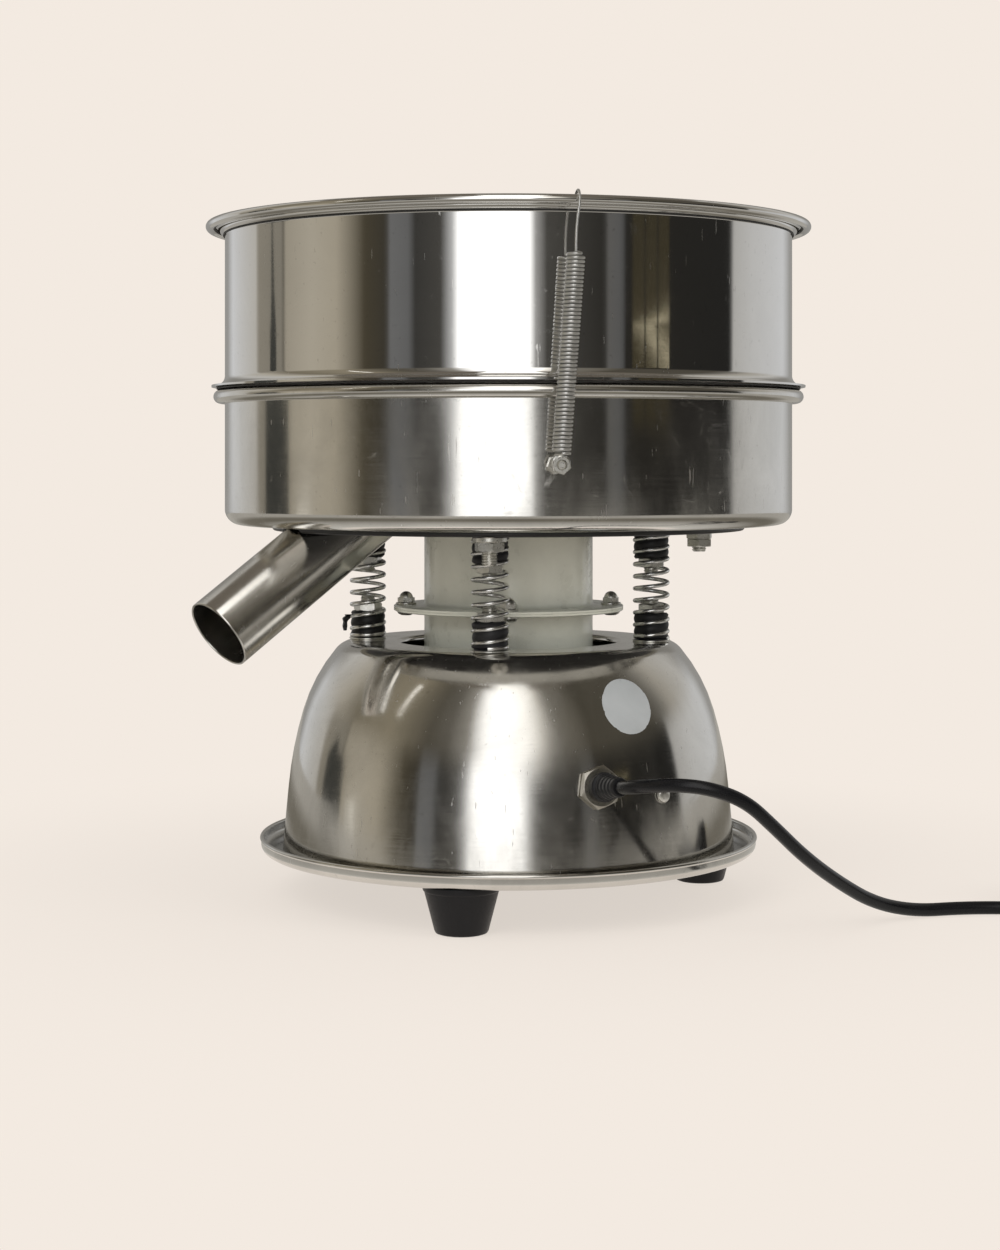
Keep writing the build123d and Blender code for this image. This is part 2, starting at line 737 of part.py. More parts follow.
with BuildPart() as clamp_nuts:
    for number in range(clamp_count):
        bearing = clamp_stud_bearing + number * 360 / clamp_count
        for nut_foot in (wall_radius + running_gap, clamp_radius + clamp_wire_radius + running_gap):
            with BuildSketch(radial_plane(nut_foot, bearing, clamp_stud_height)):
                RegularPolygon(clamp_nut_flats / 2, 6, major_radius=False)
                Circle(clamp_stud_radius + thread_clearance, mode=Mode.SUBTRACT)
            extrude(amount=clamp_nut_height)
save(clamp_nuts.part, "clamp_nuts")

# Clamp springs: close-wound coils with an eye on the stud, and the hooks over the hopper's rim
coil_mean = clamp_coil_radius - clamp_wire_radius
eye_centre = coil_mean - clamp_wire_radius - clamp_stud_radius - running_gap
coil_start = eye_centre + coil_mean + running_gap
coil_end = coil_start + clamp_coil_length
hook_arch_radius = (clamp_radius - wall_radius + sheet + clamp_wire_radius) / 2 + hook_clearance / 2
for number in range(clamp_count):
    bearing = clamp_stud_bearing + number * 360 / clamp_count
    stud_face = radial_plane(clamp_radius, bearing, clamp_stud_height)
    tilt = 0.0 if number else radians(front_clamp_lean)
    lean = stud_face.y_dir * cos(tilt) + stud_face.x_dir * sin(tilt)
    hook_shoulder = (hook_top_height - clamp_stud_height) / cos(tilt) - hook_arch_radius
    side_face = Plane(
        origin=stud_face.origin,
        x_dir=stud_face.z_dir,
        z_dir=stud_face.z_dir.cross(lean),
    )

    with BuildPart() as clamp_spring:
        with BuildSketch(side_face):
            with Locations((coil_mean, coil_start + clamp_coil_length / 2)):
                Rectangle(2 * clamp_wire_radius, clamp_coil_length)
            with Locations((coil_mean / 2, coil_start + clamp_wire_radius)):
                Rectangle(coil_mean, 2 * clamp_wire_radius)
        revolve(axis=Axis(side_face.origin, lean))
        with BuildSketch(side_face):
            with Locations((0, eye_centre + coil_mean)):
                Circle(clamp_wire_radius)
        revolve(axis=Axis(side_face.origin + lean * eye_centre, stud_face.z_dir))
    save(clamp_spring.part, f"clamp_spring_{number + 1}")

    with BuildPart() as clamp_hook:
        with BuildLine(side_face) as hook_course:
            leg = Line((0, coil_end + seat_gap), (0, hook_shoulder))
            arch = JernArc(leg @ 1, leg % 1, hook_arch_radius, 180)
            Line(arch @ 1, arch @ 1 - lean * hook_drop)
        with BuildSketch(Plane(origin=hook_course.line @ 0, z_dir=lean)):
            Circle(clamp_wire_radius)
        sweep(path=hook_course.line)
    save(clamp_hook.part, f"clamp_hook_{number + 1}")


# Cable gland: sleeve through the dome, a nut outside, a lock nut inside and a tapered boot
with BuildPart() as gland_body:
    with BuildSketch(gland_face.offset(gland_nut_height + running_gap)):
        Circle(gland_hole_radius)
    extrude(amount=-(gland_nut_height + 2 * sheet + gland_lock_height + 3.0))
save(gland_body.part, "gland_body")

with BuildPart() as gland_nuts:
    with BuildSketch(gland_face.offset(running_gap)):
        RegularPolygon(gland_nut_flats / 2, 6, major_radius=False)
        Circle(gland_hole_radius + thread_clearance, mode=Mode.SUBTRACT)
    extrude(amount=gland_nut_height)
    with BuildSketch(gland_face.offset(-sheet - 2 * seat_gap)):
        Circle(gland_nut_flats / 2)
        Circle(gland_hole_radius + thread_clearance, mode=Mode.SUBTRACT)
    extrude(amount=-gland_lock_height)
save(gland_nuts.part, "gland_nuts")

relief_root = gland_face.offset(gland_nut_height + running_gap)
relief_tip = relief_root.offset(relief_length)
with BuildPart() as strain_relief:
    with BuildSketch(relief_root):
        Circle(relief_root_radius)
    with BuildSketch(relief_tip):
        Circle(relief_tip_radius)
    loft()
save(strain_relief.part, "strain_relief")

# Cord: out of the boot, over to the right, down to the floor and along it to the coil
cord_route = [
    (53.9, -130.8, 73.9),
    (58.4, -141.8, 75.5),
    (66.1, -151.0, 77.4),
    (77.1, -157.9, 79.0),
    (93.0, -161.0, 78.0),
    (110.5, -158.3, 71.5),
    (125.0, -147.5, 57.5),
    (141.0, -132.0, 41.0),
    (160.0, -109.0, 25.0),
    (181.0, -87.0, 10.5),
    (204.0, -71.0, 3.4),
    (229.0, -63.0, 3.4),
    (254.0, -62.0, 3.4),
    (279.0, -64.5, 3.4),
    (302.0, -66.0, 3.4),
]
points = [Vector(*point) for point in cord_route]
runs = [after - before for before, after in zip(points, points[1:])]
bend_radii = []
for before, after in zip(runs, runs[1:]):
    half_turn = radians(before.get_angle(after)) / 2
    bend_radii.append(0.45 * min(before.length, after.length) / tan(half_turn))
print("cord bend radii", [round(radius) for radius in bend_radii])

lead_length = sum(run.length for run in runs)
coil_radius_mean = (cord_length - lead_length - tail_length) / (2 * pi * coil_turns)
coil_centre = (points[-1].X, points[-1].Y + coil_radius_mean)
coil_height = 2 * cord_radius * coil_rows
tail_height = coil_height - cord_radius
print("coil radius", round(coil_radius_mean, 2), "lead", round(lead_length, 1))

with BuildPart() as cord_coil:
    with BuildSketch(Plane(origin=(*coil_centre, 0), z_dir=(0, 0, 1))):
        Circle(coil_radius_mean + coil_columns * cord_radius)
        Circle(coil_radius_mean - coil_columns * cord_radius, mode=Mode.SUBTRACT)
    extrude(amount=coil_height)
    fillet(cord_coil.edges(), cord_radius * 0.9)
save(cord_coil.part, "cord_coil")

tail_foot = Vector(coil_centre[0] + coil_radius_mean, coil_centre[1], tail_height)
plug_face = Plane(origin=tail_foot + Vector(0, tail_length, 0), z_dir=(0, 1, 0))
with BuildPart() as power_cord:
    with BuildLine() as cord_course:
        FilletPolyline(*points, radius=bend_radii)
    with BuildSketch(Plane(origin=points[0], z_dir=runs[0])):
        Circle(cord_radius)
    sweep(path=cord_course.line)
    with BuildSketch(plug_face):
        Circle(cord_radius)
    extrude(amount=-tail_length)
    add(cord_coil.part, mode=Mode.SUBTRACT)
save(power_cord.part, "power_cord")
tube_length = sum(edge.length for edge in cord_course.edges())
print("cord tube share", round(power_cord.solids().sort_by(Axis.X)[0].volume / (pi * cord_radius**2 * tube_length), 3))

# Plug: a round moulded body with a tapered tail and two round pins
with BuildPart() as plug_body:
    with BuildSketch(plug_face):
        Circle(relief_tip_radius)
    with BuildSketch(plug_face.offset(plug_length / 2)):
        Circle(plug_radius * 0.62)
    loft()
    with BuildSketch(plug_face.offset(plug_length / 2)):
        Circle(plug_radius)
    extrude(amount=plug_length)
    fillet(plug_body.edges().filter_by(GeomType.CIRCLE).sort_by(Axis.Y)[-3:], 2.0)
save(plug_body.part, "plug_body")

with BuildPart() as plug_pins:
    with BuildSketch(plug_face.offset(1.5 * plug_length)):
        with GridLocations(plug_pin_spacing, 0, 2, 1):
            Circle(plug_pin_radius)
    extrude(amount=plug_pin_length)
    fillet(plug_pins.edges().group_by(Axis.Y)[-1], 1.2)
save(plug_pins.part, "plug_pins")

# Brackets that stand on the tray inside the dome, and the screws that hold the dome to them
bracket_top = dome_screw_height + 5.0
bracket_face = dome_wall_radius(bracket_top) - sheet - 2 * seat_gap
with BuildPart() as dome_brackets:
    for number in range(dome_screw_count):
        bearing = dome_screw_first_bearing + number * 360 / dome_screw_count
        with BuildSketch(radial_plane(bracket_face, bearing, tray_floor_top)):
            with Locations((0, (bracket_top - tray_floor_top) / 2)):
                Rectangle(bracket_width, bracket_top - tray_floor_top)
            with Locations((0, dome_screw_height - tray_floor_top)):
                Circle(dome_screw_radius + hole_clearance, mode=Mode.SUBTRACT)
        extrude(amount=-bracket_sheet)
        with BuildSketch(radial_plane(bracket_face, bearing, tray_floor_top)):
            with Locations((0, bracket_sheet / 2)):
                Rectangle(bracket_width, bracket_sheet)
        extrude(amount=-bracket_width)
save(dome_brackets.part, "dome_brackets")

with BuildPart() as dome_screws:
    screw_seat = dome_wall_radius(dome_screw_height - 2 * dome_screw_radius) + running_gap
    for number in range(dome_screw_count):
        bearing = dome_screw_first_bearing + number * 360 / dome_screw_count
        with BuildSketch(radial_plane(screw_seat, bearing, dome_screw_height)):
            Circle(2 * dome_screw_radius)
        extrude(amount=2.0)
        with BuildSketch(radial_plane(screw_seat, bearing, dome_screw_height)):
            Circle(dome_screw_radius)
        extrude(amount=-8.0)
save(dome_screws.part, "dome_screws")

# Motor capacitor standing on the tray behind the motor
with BuildPart() as run_capacitor:
    with BuildSketch(Plane(origin=polar(spring_circle_radius, 90, tray_floor_top))):
        Circle(capacitor_radius)
    extrude(amount=capacitor_length)
    fillet(run_capacitor.edges().group_by(Axis.Z)[-1], 2.0)
save(run_capacitor.part, "run_capacitor")
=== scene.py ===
"""Dress of a tabletop vibrating sieve: camera, cord, fine pieces, materials and studio.

Lengths are millimetres until they reach a mesh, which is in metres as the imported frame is.
A bearing is an angle about the machine's axis from +X, so the front is at -90 degrees.
"""

import math

import bmesh
import bpy
from mathutils import Matrix, Vector, noise


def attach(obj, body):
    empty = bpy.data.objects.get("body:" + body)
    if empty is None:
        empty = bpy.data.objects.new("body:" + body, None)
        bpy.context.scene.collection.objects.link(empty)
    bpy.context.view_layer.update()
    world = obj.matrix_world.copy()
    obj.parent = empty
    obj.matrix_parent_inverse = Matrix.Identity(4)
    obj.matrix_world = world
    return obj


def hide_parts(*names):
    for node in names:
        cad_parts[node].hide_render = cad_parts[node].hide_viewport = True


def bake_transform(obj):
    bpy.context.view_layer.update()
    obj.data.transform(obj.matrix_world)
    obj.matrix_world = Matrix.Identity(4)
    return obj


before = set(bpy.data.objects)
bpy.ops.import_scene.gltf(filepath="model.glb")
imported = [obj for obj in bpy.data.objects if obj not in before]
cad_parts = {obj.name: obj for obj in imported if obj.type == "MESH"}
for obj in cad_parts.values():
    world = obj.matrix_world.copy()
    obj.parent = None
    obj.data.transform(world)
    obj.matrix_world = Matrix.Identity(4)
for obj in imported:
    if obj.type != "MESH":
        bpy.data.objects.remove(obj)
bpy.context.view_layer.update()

MM = 0.001
scene = bpy.context.scene
scene.view_settings.view_transform = "Standard"

# Camera: level with the receiving pan, its axis above the middle of the picture
camera_data = bpy.data.cameras.new("photo_camera")
camera_data.sensor_width = 36.0
camera_data.lens = 67.8
camera_data.shift_x = -0.0068
camera_data.shift_y = -0.1384


def add_object(name, data):
    """A new object in the scene."""
    item = bpy.data.objects.new(name, data)
    scene.collection.objects.link(item)
    return item


camera = add_object("photo_camera", camera_data)
camera.location = (0.0, -1.254, 0.234)
camera.rotation_euler = (math.radians(90), 0.0, 0.0)
scene.camera = camera


def cosine(degrees):
    """The cosine of an angle in degrees."""
    return math.cos(math.radians(degrees))


def sine(degrees):
    """The sine of an angle in degrees."""
    return math.sin(math.radians(degrees))


def polar(radius, bearing, height=0.0):
    """A point at a radius, bearing and height about the machine's axis."""
    return Vector((radius * cosine(bearing), radius * sine(bearing), height))


def around(radius, turn, height=0.0):
    """A point by its turn in radians about the axis."""
    return (radius * math.cos(turn), radius * math.sin(turn), height)


def circle(radius, count, height=0.0):
    """Points evenly round the axis at one height."""
    return [around(radius, math.tau * step / count, height) for step in range(count)]


def spun(degrees):
    """A turn about Z."""
    return Matrix.Rotation(math.radians(degrees), 4, "Z")


def upright(radius, bearing):
    """Placement of a piece that stands upright at a radius and bearing."""
    return Matrix.Translation(polar(radius, bearing)) @ spun(bearing)


def outward(radius, bearing, height, tilt=0.0):
    """Placement whose Z points away from the axis, tilted upward, and whose X is level."""
    direction = polar(cosine(tilt), bearing, sine(tilt))
    level = polar(1.0, bearing + 90)
    rising = direction.cross(level)
    turn = Matrix((level, rising, direction)).transposed().to_4x4()
    return Matrix.Translation(polar(radius, bearing, height)) @ turn


def along(start, direction):
    """Placement whose Z points along a direction."""
    return Matrix.Translation(Vector(start)) @ Vector(direction).to_track_quat("Z", "Y").to_matrix().to_4x4()


def ease(value):
    """A smooth step from 0 to 1."""
    value = min(1.0, max(0.0, value))
    return value * value * (3 - 2 * value)


# Procedural materials
def feed(tree, socket, value):
    """Links a socket to another node's output, or sets it to a plain value."""
    if isinstance(value, bpy.types.NodeSocket):
        tree.links.new(value, socket)
    else:
        socket.default_value = value


def add_node(tree, kind, inputs, output=0, **settings):
    """Adds a shader node, feeds the inputs that are named, and gives back one output or a slice of them."""
    node = tree.nodes.new("ShaderNode" + kind)
    for setting, value in settings.items():
        setattr(node, setting, value)
    for name, value in inputs.items():
        feed(tree, node.inputs[name], value)
    return node.outputs[output]


def calculate(tree, operation, first, second=0.0):
    """One arithmetic node."""
    return add_node(tree, "Math", {0: first, 1: second}, operation=operation)


def mix_colours(tree, factor, first, second):
    """A colour between two others, each a plain colour or a node's output."""
    ends = [(*end, 1.0) if isinstance(end, tuple) else end for end in (first, second)]
    return add_node(tree, "Mix", {0: factor, 6: ends[0], 7: ends[1]}, 2, data_type="RGBA")


def new_material(name):
    """A material with a Principled shader alone, and its node tree."""
    material = bpy.data.materials.new(name)
    material.use_nodes = True
    return material, material.node_tree


class Finish:
    """One node material, built up from coordinates, noises and a Principled shader."""

    def __init__(self, name, metallic=0.0, **constants):
        self.material, self.tree = new_material(name)
        self.shader = self.tree.nodes["Principled BSDF"]
        self.shader.inputs["Metallic"].default_value = metallic
        for socket, value in constants.items():
            self.shader.inputs[socket.replace("_", " ")].default_value = value
        self.place = add_node(self.tree, "TexCoord", {}, "Object")

    def math(self, operation, first, second=0.0):
        return calculate(self.tree, operation, first, second)

    def times(self, first, second):
        return self.math("MULTIPLY", first, second)

    def plus(self, first, second):
        return self.math("ADD", first, second)

    def mix(self, factor, first, second):
        return mix_colours(self.tree, factor, first, second)

    def noise(self, scale, detail=3.0, rough=0.5, distort=0.0, vector=None):
        return add_node(self.tree, "TexNoise", {
            "Scale": scale, "Detail": detail, "Roughness": rough, "Distortion": distort,
            "Vector": vector or self.place,
        })

    def spread(self, value, low, high, start=0.3, end=0.7):
        """A noise between start and end becomes a number between low and high."""
        return add_node(self.tree, "MapRange", {
            "Value": value, "From Min": start, "From Max": end, "To Min": low, "To Max": high,
        })

    def parts(self):
        """X, Y and Z of a point of the object."""
        return add_node(self.tree, "SeparateXYZ", {0: self.place}, slice(None))

    def radius(self):
        """Distance from the axis."""
        x, y = self.parts()[:2]
        return self.math("MAXIMUM", self.math("SQRT", self.plus(self.times(x, x), self.times(y, y))), 0.001)

    def turned(self, slow, fast):
        """Coordinates for lines that run round the axis: slow along them, fast across."""
        x, y, z = self.parts()
        radius = self.radius()
        return add_node(self.tree, "CombineXYZ", {
            0: self.times(self.math("DIVIDE", x, radius), slow),
            1: self.times(self.math("DIVIDE", y, radius), slow),
            2: self.times(self.math("SUBTRACT", z, radius), fast),
        })

    def streaks(self, x, y, z, *settings):
        """A noise of its own scale along each axis; the settings are detail, roughness and distortion."""
        stretched = add_node(self.tree, "Mapping", {"Vector": self.place, "Scale": (x, y, z)})
        return self.noise(1.0, *settings, vector=stretched)

    def bump(self, height, strength, distance, onto=None):
        inputs = {"Height": height, "Strength": strength, "Distance": distance}
        if onto:
            inputs["Normal"] = onto
        return add_node(self.tree, "Bump", inputs)

    def done(self, colour, roughness, normal):
        for socket, value in (("Base Color", colour), ("Roughness", roughness), ("Normal", normal)):
            feed(self.tree, self.shader.inputs[socket], value)
        return self.material


def darker(tone, share):
    """A colour with each part brought down to a share of it."""
    return tuple(part * share for part in tone)


def sheet_steel(name, tone, rough_low, rough_high, wave, lines, dirt, painted_shade_radius=None):
    """Stainless sheet turned about the axis: fine lines, soft waves, smears, scratches and wipe marks.

    Inside the radius given last, the colour is darkened as painted shade of the recess.
    """
    finish = Finish(name, metallic=1.0)
    brush = finish.noise(1.0, 2.0, 0.6, vector=finish.turned(5.0, 3200.0))
    smear = finish.noise(16.0, 5.0, 0.62, 1.2)
    wipe = finish.streaks(34.0, 34.0, 11.0, 4.0, 0.6, 0.5)
    swell = finish.streaks(9.0, 9.0, 4.0, 1.0, 0.4)
    speck = finish.spread(finish.noise(420.0, 2.0, 0.6), 0.0, 1.0, 0.66, 0.74)
    smudge = finish.spread(finish.noise(48.0, 5.0, 0.65, 2.5), 0.0, 1.0, 0.63, 0.72)
    scratch = finish.spread(finish.streaks(700.0, 700.0, 70.0, 2.0, 0.5), 0.0, 1.0, 0.71, 0.74)
    clean = finish.mix(finish.spread(smear, 0.0, 1.0, 0.35, 0.7), tone, darker(tone, 1 - dirt))
    colour = finish.mix(finish.times(speck, 0.25), clean, darker(tone, 0.45))
    # Painted shade: inside the given radius the colour is brought down to 16 per cent of the tone.
    if painted_shade_radius:
        painted_shade = finish.spread(finish.radius(), 1.0, 0.0, painted_shade_radius, painted_shade_radius + 0.001)
        colour = finish.mix(painted_shade, colour, darker(tone, 0.16))
    rough = finish.plus(finish.spread(wipe, rough_low, rough_high, 0.38, 0.68),
                        finish.spread(brush, 0.0, (rough_high - rough_low) * 0.4))
    marks = finish.plus(finish.times(smudge, 0.10), finish.times(scratch, 0.22))
    rough = finish.plus(rough, marks)
    normal = finish.bump(swell, 1.0, wave)
    normal = finish.bump(brush, lines, 0.00002, normal)
    return finish.done(colour, rough, normal)


def plain_metal(name, tone, roughness, grain=900.0, depth=0.00003, tint=None, **constants):
    """Plated or machined metal with a grain, uneven gloss and a second tint in patches."""
    finish = Finish(name, metallic=1.0, **constants)
    patches = finish.noise(130.0, 4.0, 0.6, 0.6)
    fine = finish.noise(grain, 3.0, 0.6)
    colour = finish.mix(finish.spread(patches, 0.0, 1.0), tone, tint or darker(tone, 0.8))
    rough = finish.spread(fine, roughness * 0.75, roughness * 1.3)
    return finish.done(colour, rough, finish.bump(fine, 0.5, depth))


def moulded(name, tone, roughness, grain=1400.0, depth=0.00006, dust=0.0, **constants):
    """Rubber, plastic or paint with a fine grain, uneven gloss and a little dust."""
    finish = Finish(name, **constants)
    patches = finish.noise(45.0, 4.0, 0.6, 0.8)
    fine = finish.noise(grain, 3.0, 0.55)
    lighter = tuple(part + (0.25 - part) * dust + part * 0.12 for part in tone)
    colour = finish.mix(finish.spread(patches, 0.0, 1.0), tone, lighter)
    rough = finish.plus(finish.spread(fine, roughness * 0.85, roughness * 1.1),
                        finish.spread(patches, -0.05, 0.08))
    return finish.done(colour, rough, finish.bump(fine, 0.6, depth))


ring_steel = sheet_steel("mirror_stainless", (0.80, 0.79, 0.77), 0.025, 0.07, 0.0003, 0.03, 0.05)
pan_steel = sheet_steel("satin_stainless", (0.77, 0.755, 0.72), 0.06, 0.17, 0.0003, 0.05, 0.14)
dome_steel = sheet_steel("spun_stainless", (0.76, 0.745, 0.71), 0.06, 0.19, 0.0004, 0.05, 0.16)
tube_steel = sheet_steel("tube_stainless", (0.78, 0.76, 0.72), 0.12, 0.24, 0.0002, 0.05, 0.18)
# The tray's floor inside its bend is darkened: painted shade of the recess under the dome.
tray_steel = sheet_steel("tray_stainless", (0.70, 0.685, 0.65), 0.07, 0.18, 0.0004, 0.05, 0.16, painted_shade_radius=0.1272)
zinc = plain_metal("zinc_steel", (0.84, 0.83, 0.80), 0.32, depth=0.000006, tint=(0.66, 0.65, 0.60))
dull_zinc = plain_metal("dull_zinc", (0.46, 0.44, 0.40), 0.34, depth=0.000006, tint=(0.36, 0.34, 0.29))
spring_wire = plain_metal("spring_steel", (0.92, 0.92, 0.91), 0.21, depth=0.000004, tint=(0.76, 0.76, 0.75))
clamp_wire = plain_metal("clamp_wire", (0.86, 0.86, 0.85), 0.42, depth=0.000003, tint=(0.70, 0.70, 0.69))
bearing_steel = plain_metal("bearing_steel", (0.68, 0.68, 0.67), 0.2)
cast_iron = plain_metal("cast_weight", (0.20, 0.20, 0.20), 0.55, grain=500.0, depth=0.0002)
plug_brass = plain_metal("plug_brass", (0.74, 0.72, 0.66), 0.22, tint=(0.66, 0.60, 0.44))
copper = plain_metal("copper_wire", (0.72, 0.30, 0.14), 0.34, grain=1500.0, depth=0.0002)
rubber = moulded("black_rubber", (0.010, 0.010, 0.011), 0.42, dust=0.02, Specular_IOR_Level=0.35)
foot_rubber = moulded("foot_rubber", (0.006, 0.006, 0.007), 0.42, grain=700.0, depth=0.00005, dust=0.01,
                      Specular_IOR_Level=0.25)
deck_paint = moulded("black_paint", (0.012, 0.012, 0.013), 0.38, dust=0.02)
motor_paint = moulded("motor_paint", (0.74, 0.745, 0.64), 0.30, grain=260.0, depth=0.00005, dust=0.0,
                      Coat_Weight=0.6, Coat_Roughness=0.12)
cord_jacket = moulded("cord_jacket", (0.006, 0.006, 0.007), 0.26, grain=1800.0, depth=0.00001, dust=0.005,
                      Specular_IOR_Level=0.3)
plug_plastic = moulded("plug_plastic", (0.008, 0.008, 0.009), 0.32, grain=1200.0, depth=0.00003, dust=0.008,
                       Specular_IOR_Level=0.35)
sticker_vinyl = moulded("blank_sticker", (0.37, 0.385, 0.385), 0.34, grain=300.0, depth=0.00002)
capacitor_case = moulded("capacitor_case", (0.55, 0.55, 0.52), 0.42)
# Also used for the dark rings in the rim's grooves, which are painted shade.
gasket_rubber_and_groove_shade = moulded("gasket_rubber_and_groove_shade", (0.03, 0.03, 0.03), 0.6)


def laminated():
    """Thin electrical sheets, seen as fine level lines."""
    finish = Finish("laminations", metallic=1.0)
    layers = finish.streaks(8.0, 8.0, 2400.0, 1.0)
    colour = finish.mix(finish.spread(layers, 0.0, 1.0), (0.34, 0.33, 0.32), (0.18, 0.18, 0.18))
    return finish.done(colour, finish.spread(layers, 0.3, 0.5), finish.bump(layers, 0.8, 0.0001))


def woven_screen():
    """Wire cloth: wires over and under each other, open between them."""
    finish = Finish("screen_mesh", metallic=1.0)
    mesh_step = 0.0012
    warp, weft = (
        finish.math("ABSOLUTE", finish.math("SINE", finish.times(part, math.pi / mesh_step)))
        for part in finish.parts()[:2]
    )
    wires = finish.math("MAXIMUM", warp, weft)
    feed(finish.tree, finish.shader.inputs["Alpha"], finish.spread(wires, 0.0, 1.0, 0.80, 0.86))
    patches = finish.noise(22.0, 3.0)
    colour = finish.mix(finish.spread(patches, 0.0, 1.0), (0.66, 0.65, 0.62), (0.54, 0.53, 0.50))
    return finish.done(colour, finish.spread(patches, 0.26, 0.4), finish.bump(wires, 1.0, 0.0003))


lamination_steel = laminated()
screen_wire = woven_screen()


# Mesh code
def cut(piece, tool):
    """Takes the tool's volume out of a piece, and the tool out of the scene."""
    modifier = piece.modifiers.new("cut", "BOOLEAN")
    modifier.operation = "DIFFERENCE"
    modifier.solver = "EXACT"
    modifier.object = tool
    view = bpy.context.evaluated_depsgraph_get()
    shaped = bpy.data.meshes.new_from_object(piece.evaluated_get(view))
    piece.modifiers.clear()
    piece.data = shaped
    piece.data.shade_smooth()
    piece.data.set_sharp_from_angle(angle=math.radians(50))
    bpy.data.objects.remove(tool)


class Shape:
    """Vertices and faces of one mesh, gathered run by run."""

    def __init__(self):
        self.points = []
        self.faces = []

    def grid(self, rows, ring=True, loop=False, place=None, capped=False):
        """Quads between rows of points; ring joins a row's ends, loop joins the last row to the first."""
        base = len(self.points)
        width = len(rows[0])
        for row in rows:
            self.points.extend((place @ Vector(point)) if place else Vector(point) for point in row)
        for i in range(len(rows) if loop else len(rows) - 1):
            here = base + i * width
            above = base + (i + 1) % len(rows) * width
            for j in range(width if ring else width - 1):
                beside = (j + 1) % width
                self.faces.append((here + j, here + beside, above + beside, above + j))
        if capped:
            self.faces.append(tuple(range(base, base + width)))
            self.faces.append(tuple(range(len(self.points) - width, len(self.points))))
        return self

    def lathe(self, profile, steps=64, closed=True, place=None):
        """A profile of radius and height turned about Z."""
        return self.grid([circle(r, steps, z) for r, z in profile], loop=closed, place=place)

    def tube(self, path, radius, sides=12, loop=False):
        """A round wire along a path; radius is one number or a number for each point."""
        path = [Vector(point) for point in path]
        last = len(path) - 1
        normal = None
        rows = []
        for index, point in enumerate(path):
            before = path[index - 1] if index or loop else point
            after = path[(index + 1) % len(path)] if index < last or loop else point
            tangent = (after - before).normalized()
            if normal is None:
                normal = tangent.orthogonal()
            normal = (normal - tangent * normal.dot(tangent)).normalized()
            side = tangent.cross(normal)
            size = radius[index] if isinstance(radius, list) else radius
            turns = [math.tau * step / sides for step in range(sides)]
            rows.append([point + (normal * math.cos(a) + side * math.sin(a)) * size for a in turns])
        return self.grid(rows, loop=loop, capped=not loop)

    def hexagon(self, flats, low, high, bore=0.0, place=None, ends=(True, True)):
        """A nut or bolt head with its corners turned off at the ends that ends names."""
        flat_circle = flats * 0.485
        chamfer_slope = 0.58
        turns = [math.radians(7.5 * step) for step in range(48)]
        reach = [flats / 2 / cosine(7.5 * step % 60 - 30) for step in range(48)]
        drops = [max(0.0, (r - flat_circle) * chamfer_slope) for r in reach]
        lows = [low + (drop if ends[0] else 0.02) for drop in drops]
        highs = [high - (drop if ends[1] else 0.02) for drop in drops]
        sides = [[around(*corner) for corner in zip(reach, turns, heights)] for heights in (lows, highs)]
        rows = [circle(bore, 48, low), circle(flat_circle, 48, low), *sides,
                circle(flat_circle, 48, high), circle(bore, 48, high)]
        return self.grid(rows, loop=bore > 0, place=place)

    def thread(self, radius, pitch, low, high, place=None, sides=28):
        """A screwed rod from low to high, its last turn chamfered at the high end."""
        depth = pitch * 0.5
        count = max(8, int(abs(high - low) / pitch * 7))
        rows = []
        for step in range(count + 1):
            share = step / count
            z = low + (high - low) * share
            row = []
            for side in range(sides):
                phase = (z / pitch - side / sides) % 1.0
                size = radius - depth * abs(2 * phase - 1)
                size = min(size, radius - 0.9 + abs(high - z))
                row.append(around(size, math.tau * side / sides, z))
            rows.append(row)
        return self.grid(rows, place=place, capped=True)

    def build(self, name, material, body=None, replaced=(), sharp=34.0, tool=None):
        """The mesh as an object that rides on a body and stands for the CAD nodes it replaces.

        A tool is another piece, whose volume is cut out of this one.
        """
        mesh = bpy.data.meshes.new(name)
        mesh.from_pydata([point * MM for point in self.points], [], self.faces)
        work = bmesh.new()
        work.from_mesh(mesh)
        bmesh.ops.remove_doubles(work, verts=work.verts, dist=1e-7)
        bmesh.ops.recalc_face_normals(work, faces=work.faces)
        work.to_mesh(mesh)
        work.free()
        mesh.shade_smooth()
        mesh.set_sharp_from_angle(angle=math.radians(sharp))
        mesh.materials.append(material)
        piece = add_object(name, mesh)
        if tool:
            cut(piece, tool)
        if body:
            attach(piece, body)
        if replaced:
            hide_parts(*replaced)
        return piece


def course(start, heading, *moves):
    """Points with headings along runs of a length and arcs of a radius and a turn in degrees."""
    x, z = start
    trail = [(x, z, heading)]
    for move in moves:
        if isinstance(move, tuple):
            radius, turn = move
            pieces = max(4, int(abs(turn) / 5))
            side = math.copysign(1.0, turn)
            centre_x = x - side * radius * sine(heading)
            centre_z = z + side * radius * cosine(heading)
            for step in range(1, pieces + 1):
                now = heading + turn * step / pieces
                x = centre_x + side * radius * sine(now)
                z = centre_z - side * radius * cosine(now)
                trail.append((x, z, now))
            heading += turn
        else:
            x += move * cosine(heading)
            z += move * sine(heading)
            trail.append((x, z, heading))
    return trail


def turned_sheet(trail):
    """Sheet metal turned about the axis; the trail runs through the middle of its thickness."""
    left, right = [], []
    for x, z, heading in trail:
        across = sheet / 2 * cosine(heading + 90)
        up = sheet / 2 * sine(heading + 90)
        left.append((x + across, z + up))
        right.append((x - across, z - up))
    return Shape().lathe(left + right[::-1], 360)


def bead(x, z, radius, pieces=20):
    """The round outline of a wired edge."""
    return [(x + across, z + up) for across, up, _ in circle(radius, pieces)]


def crown(radius, height, foot, power=1.0):
    """The outline of a domed head, from its edge to its top."""
    return [(radius * cosine(a), foot + height * sine(a) ** power) for a in range(0, 91, 10)]


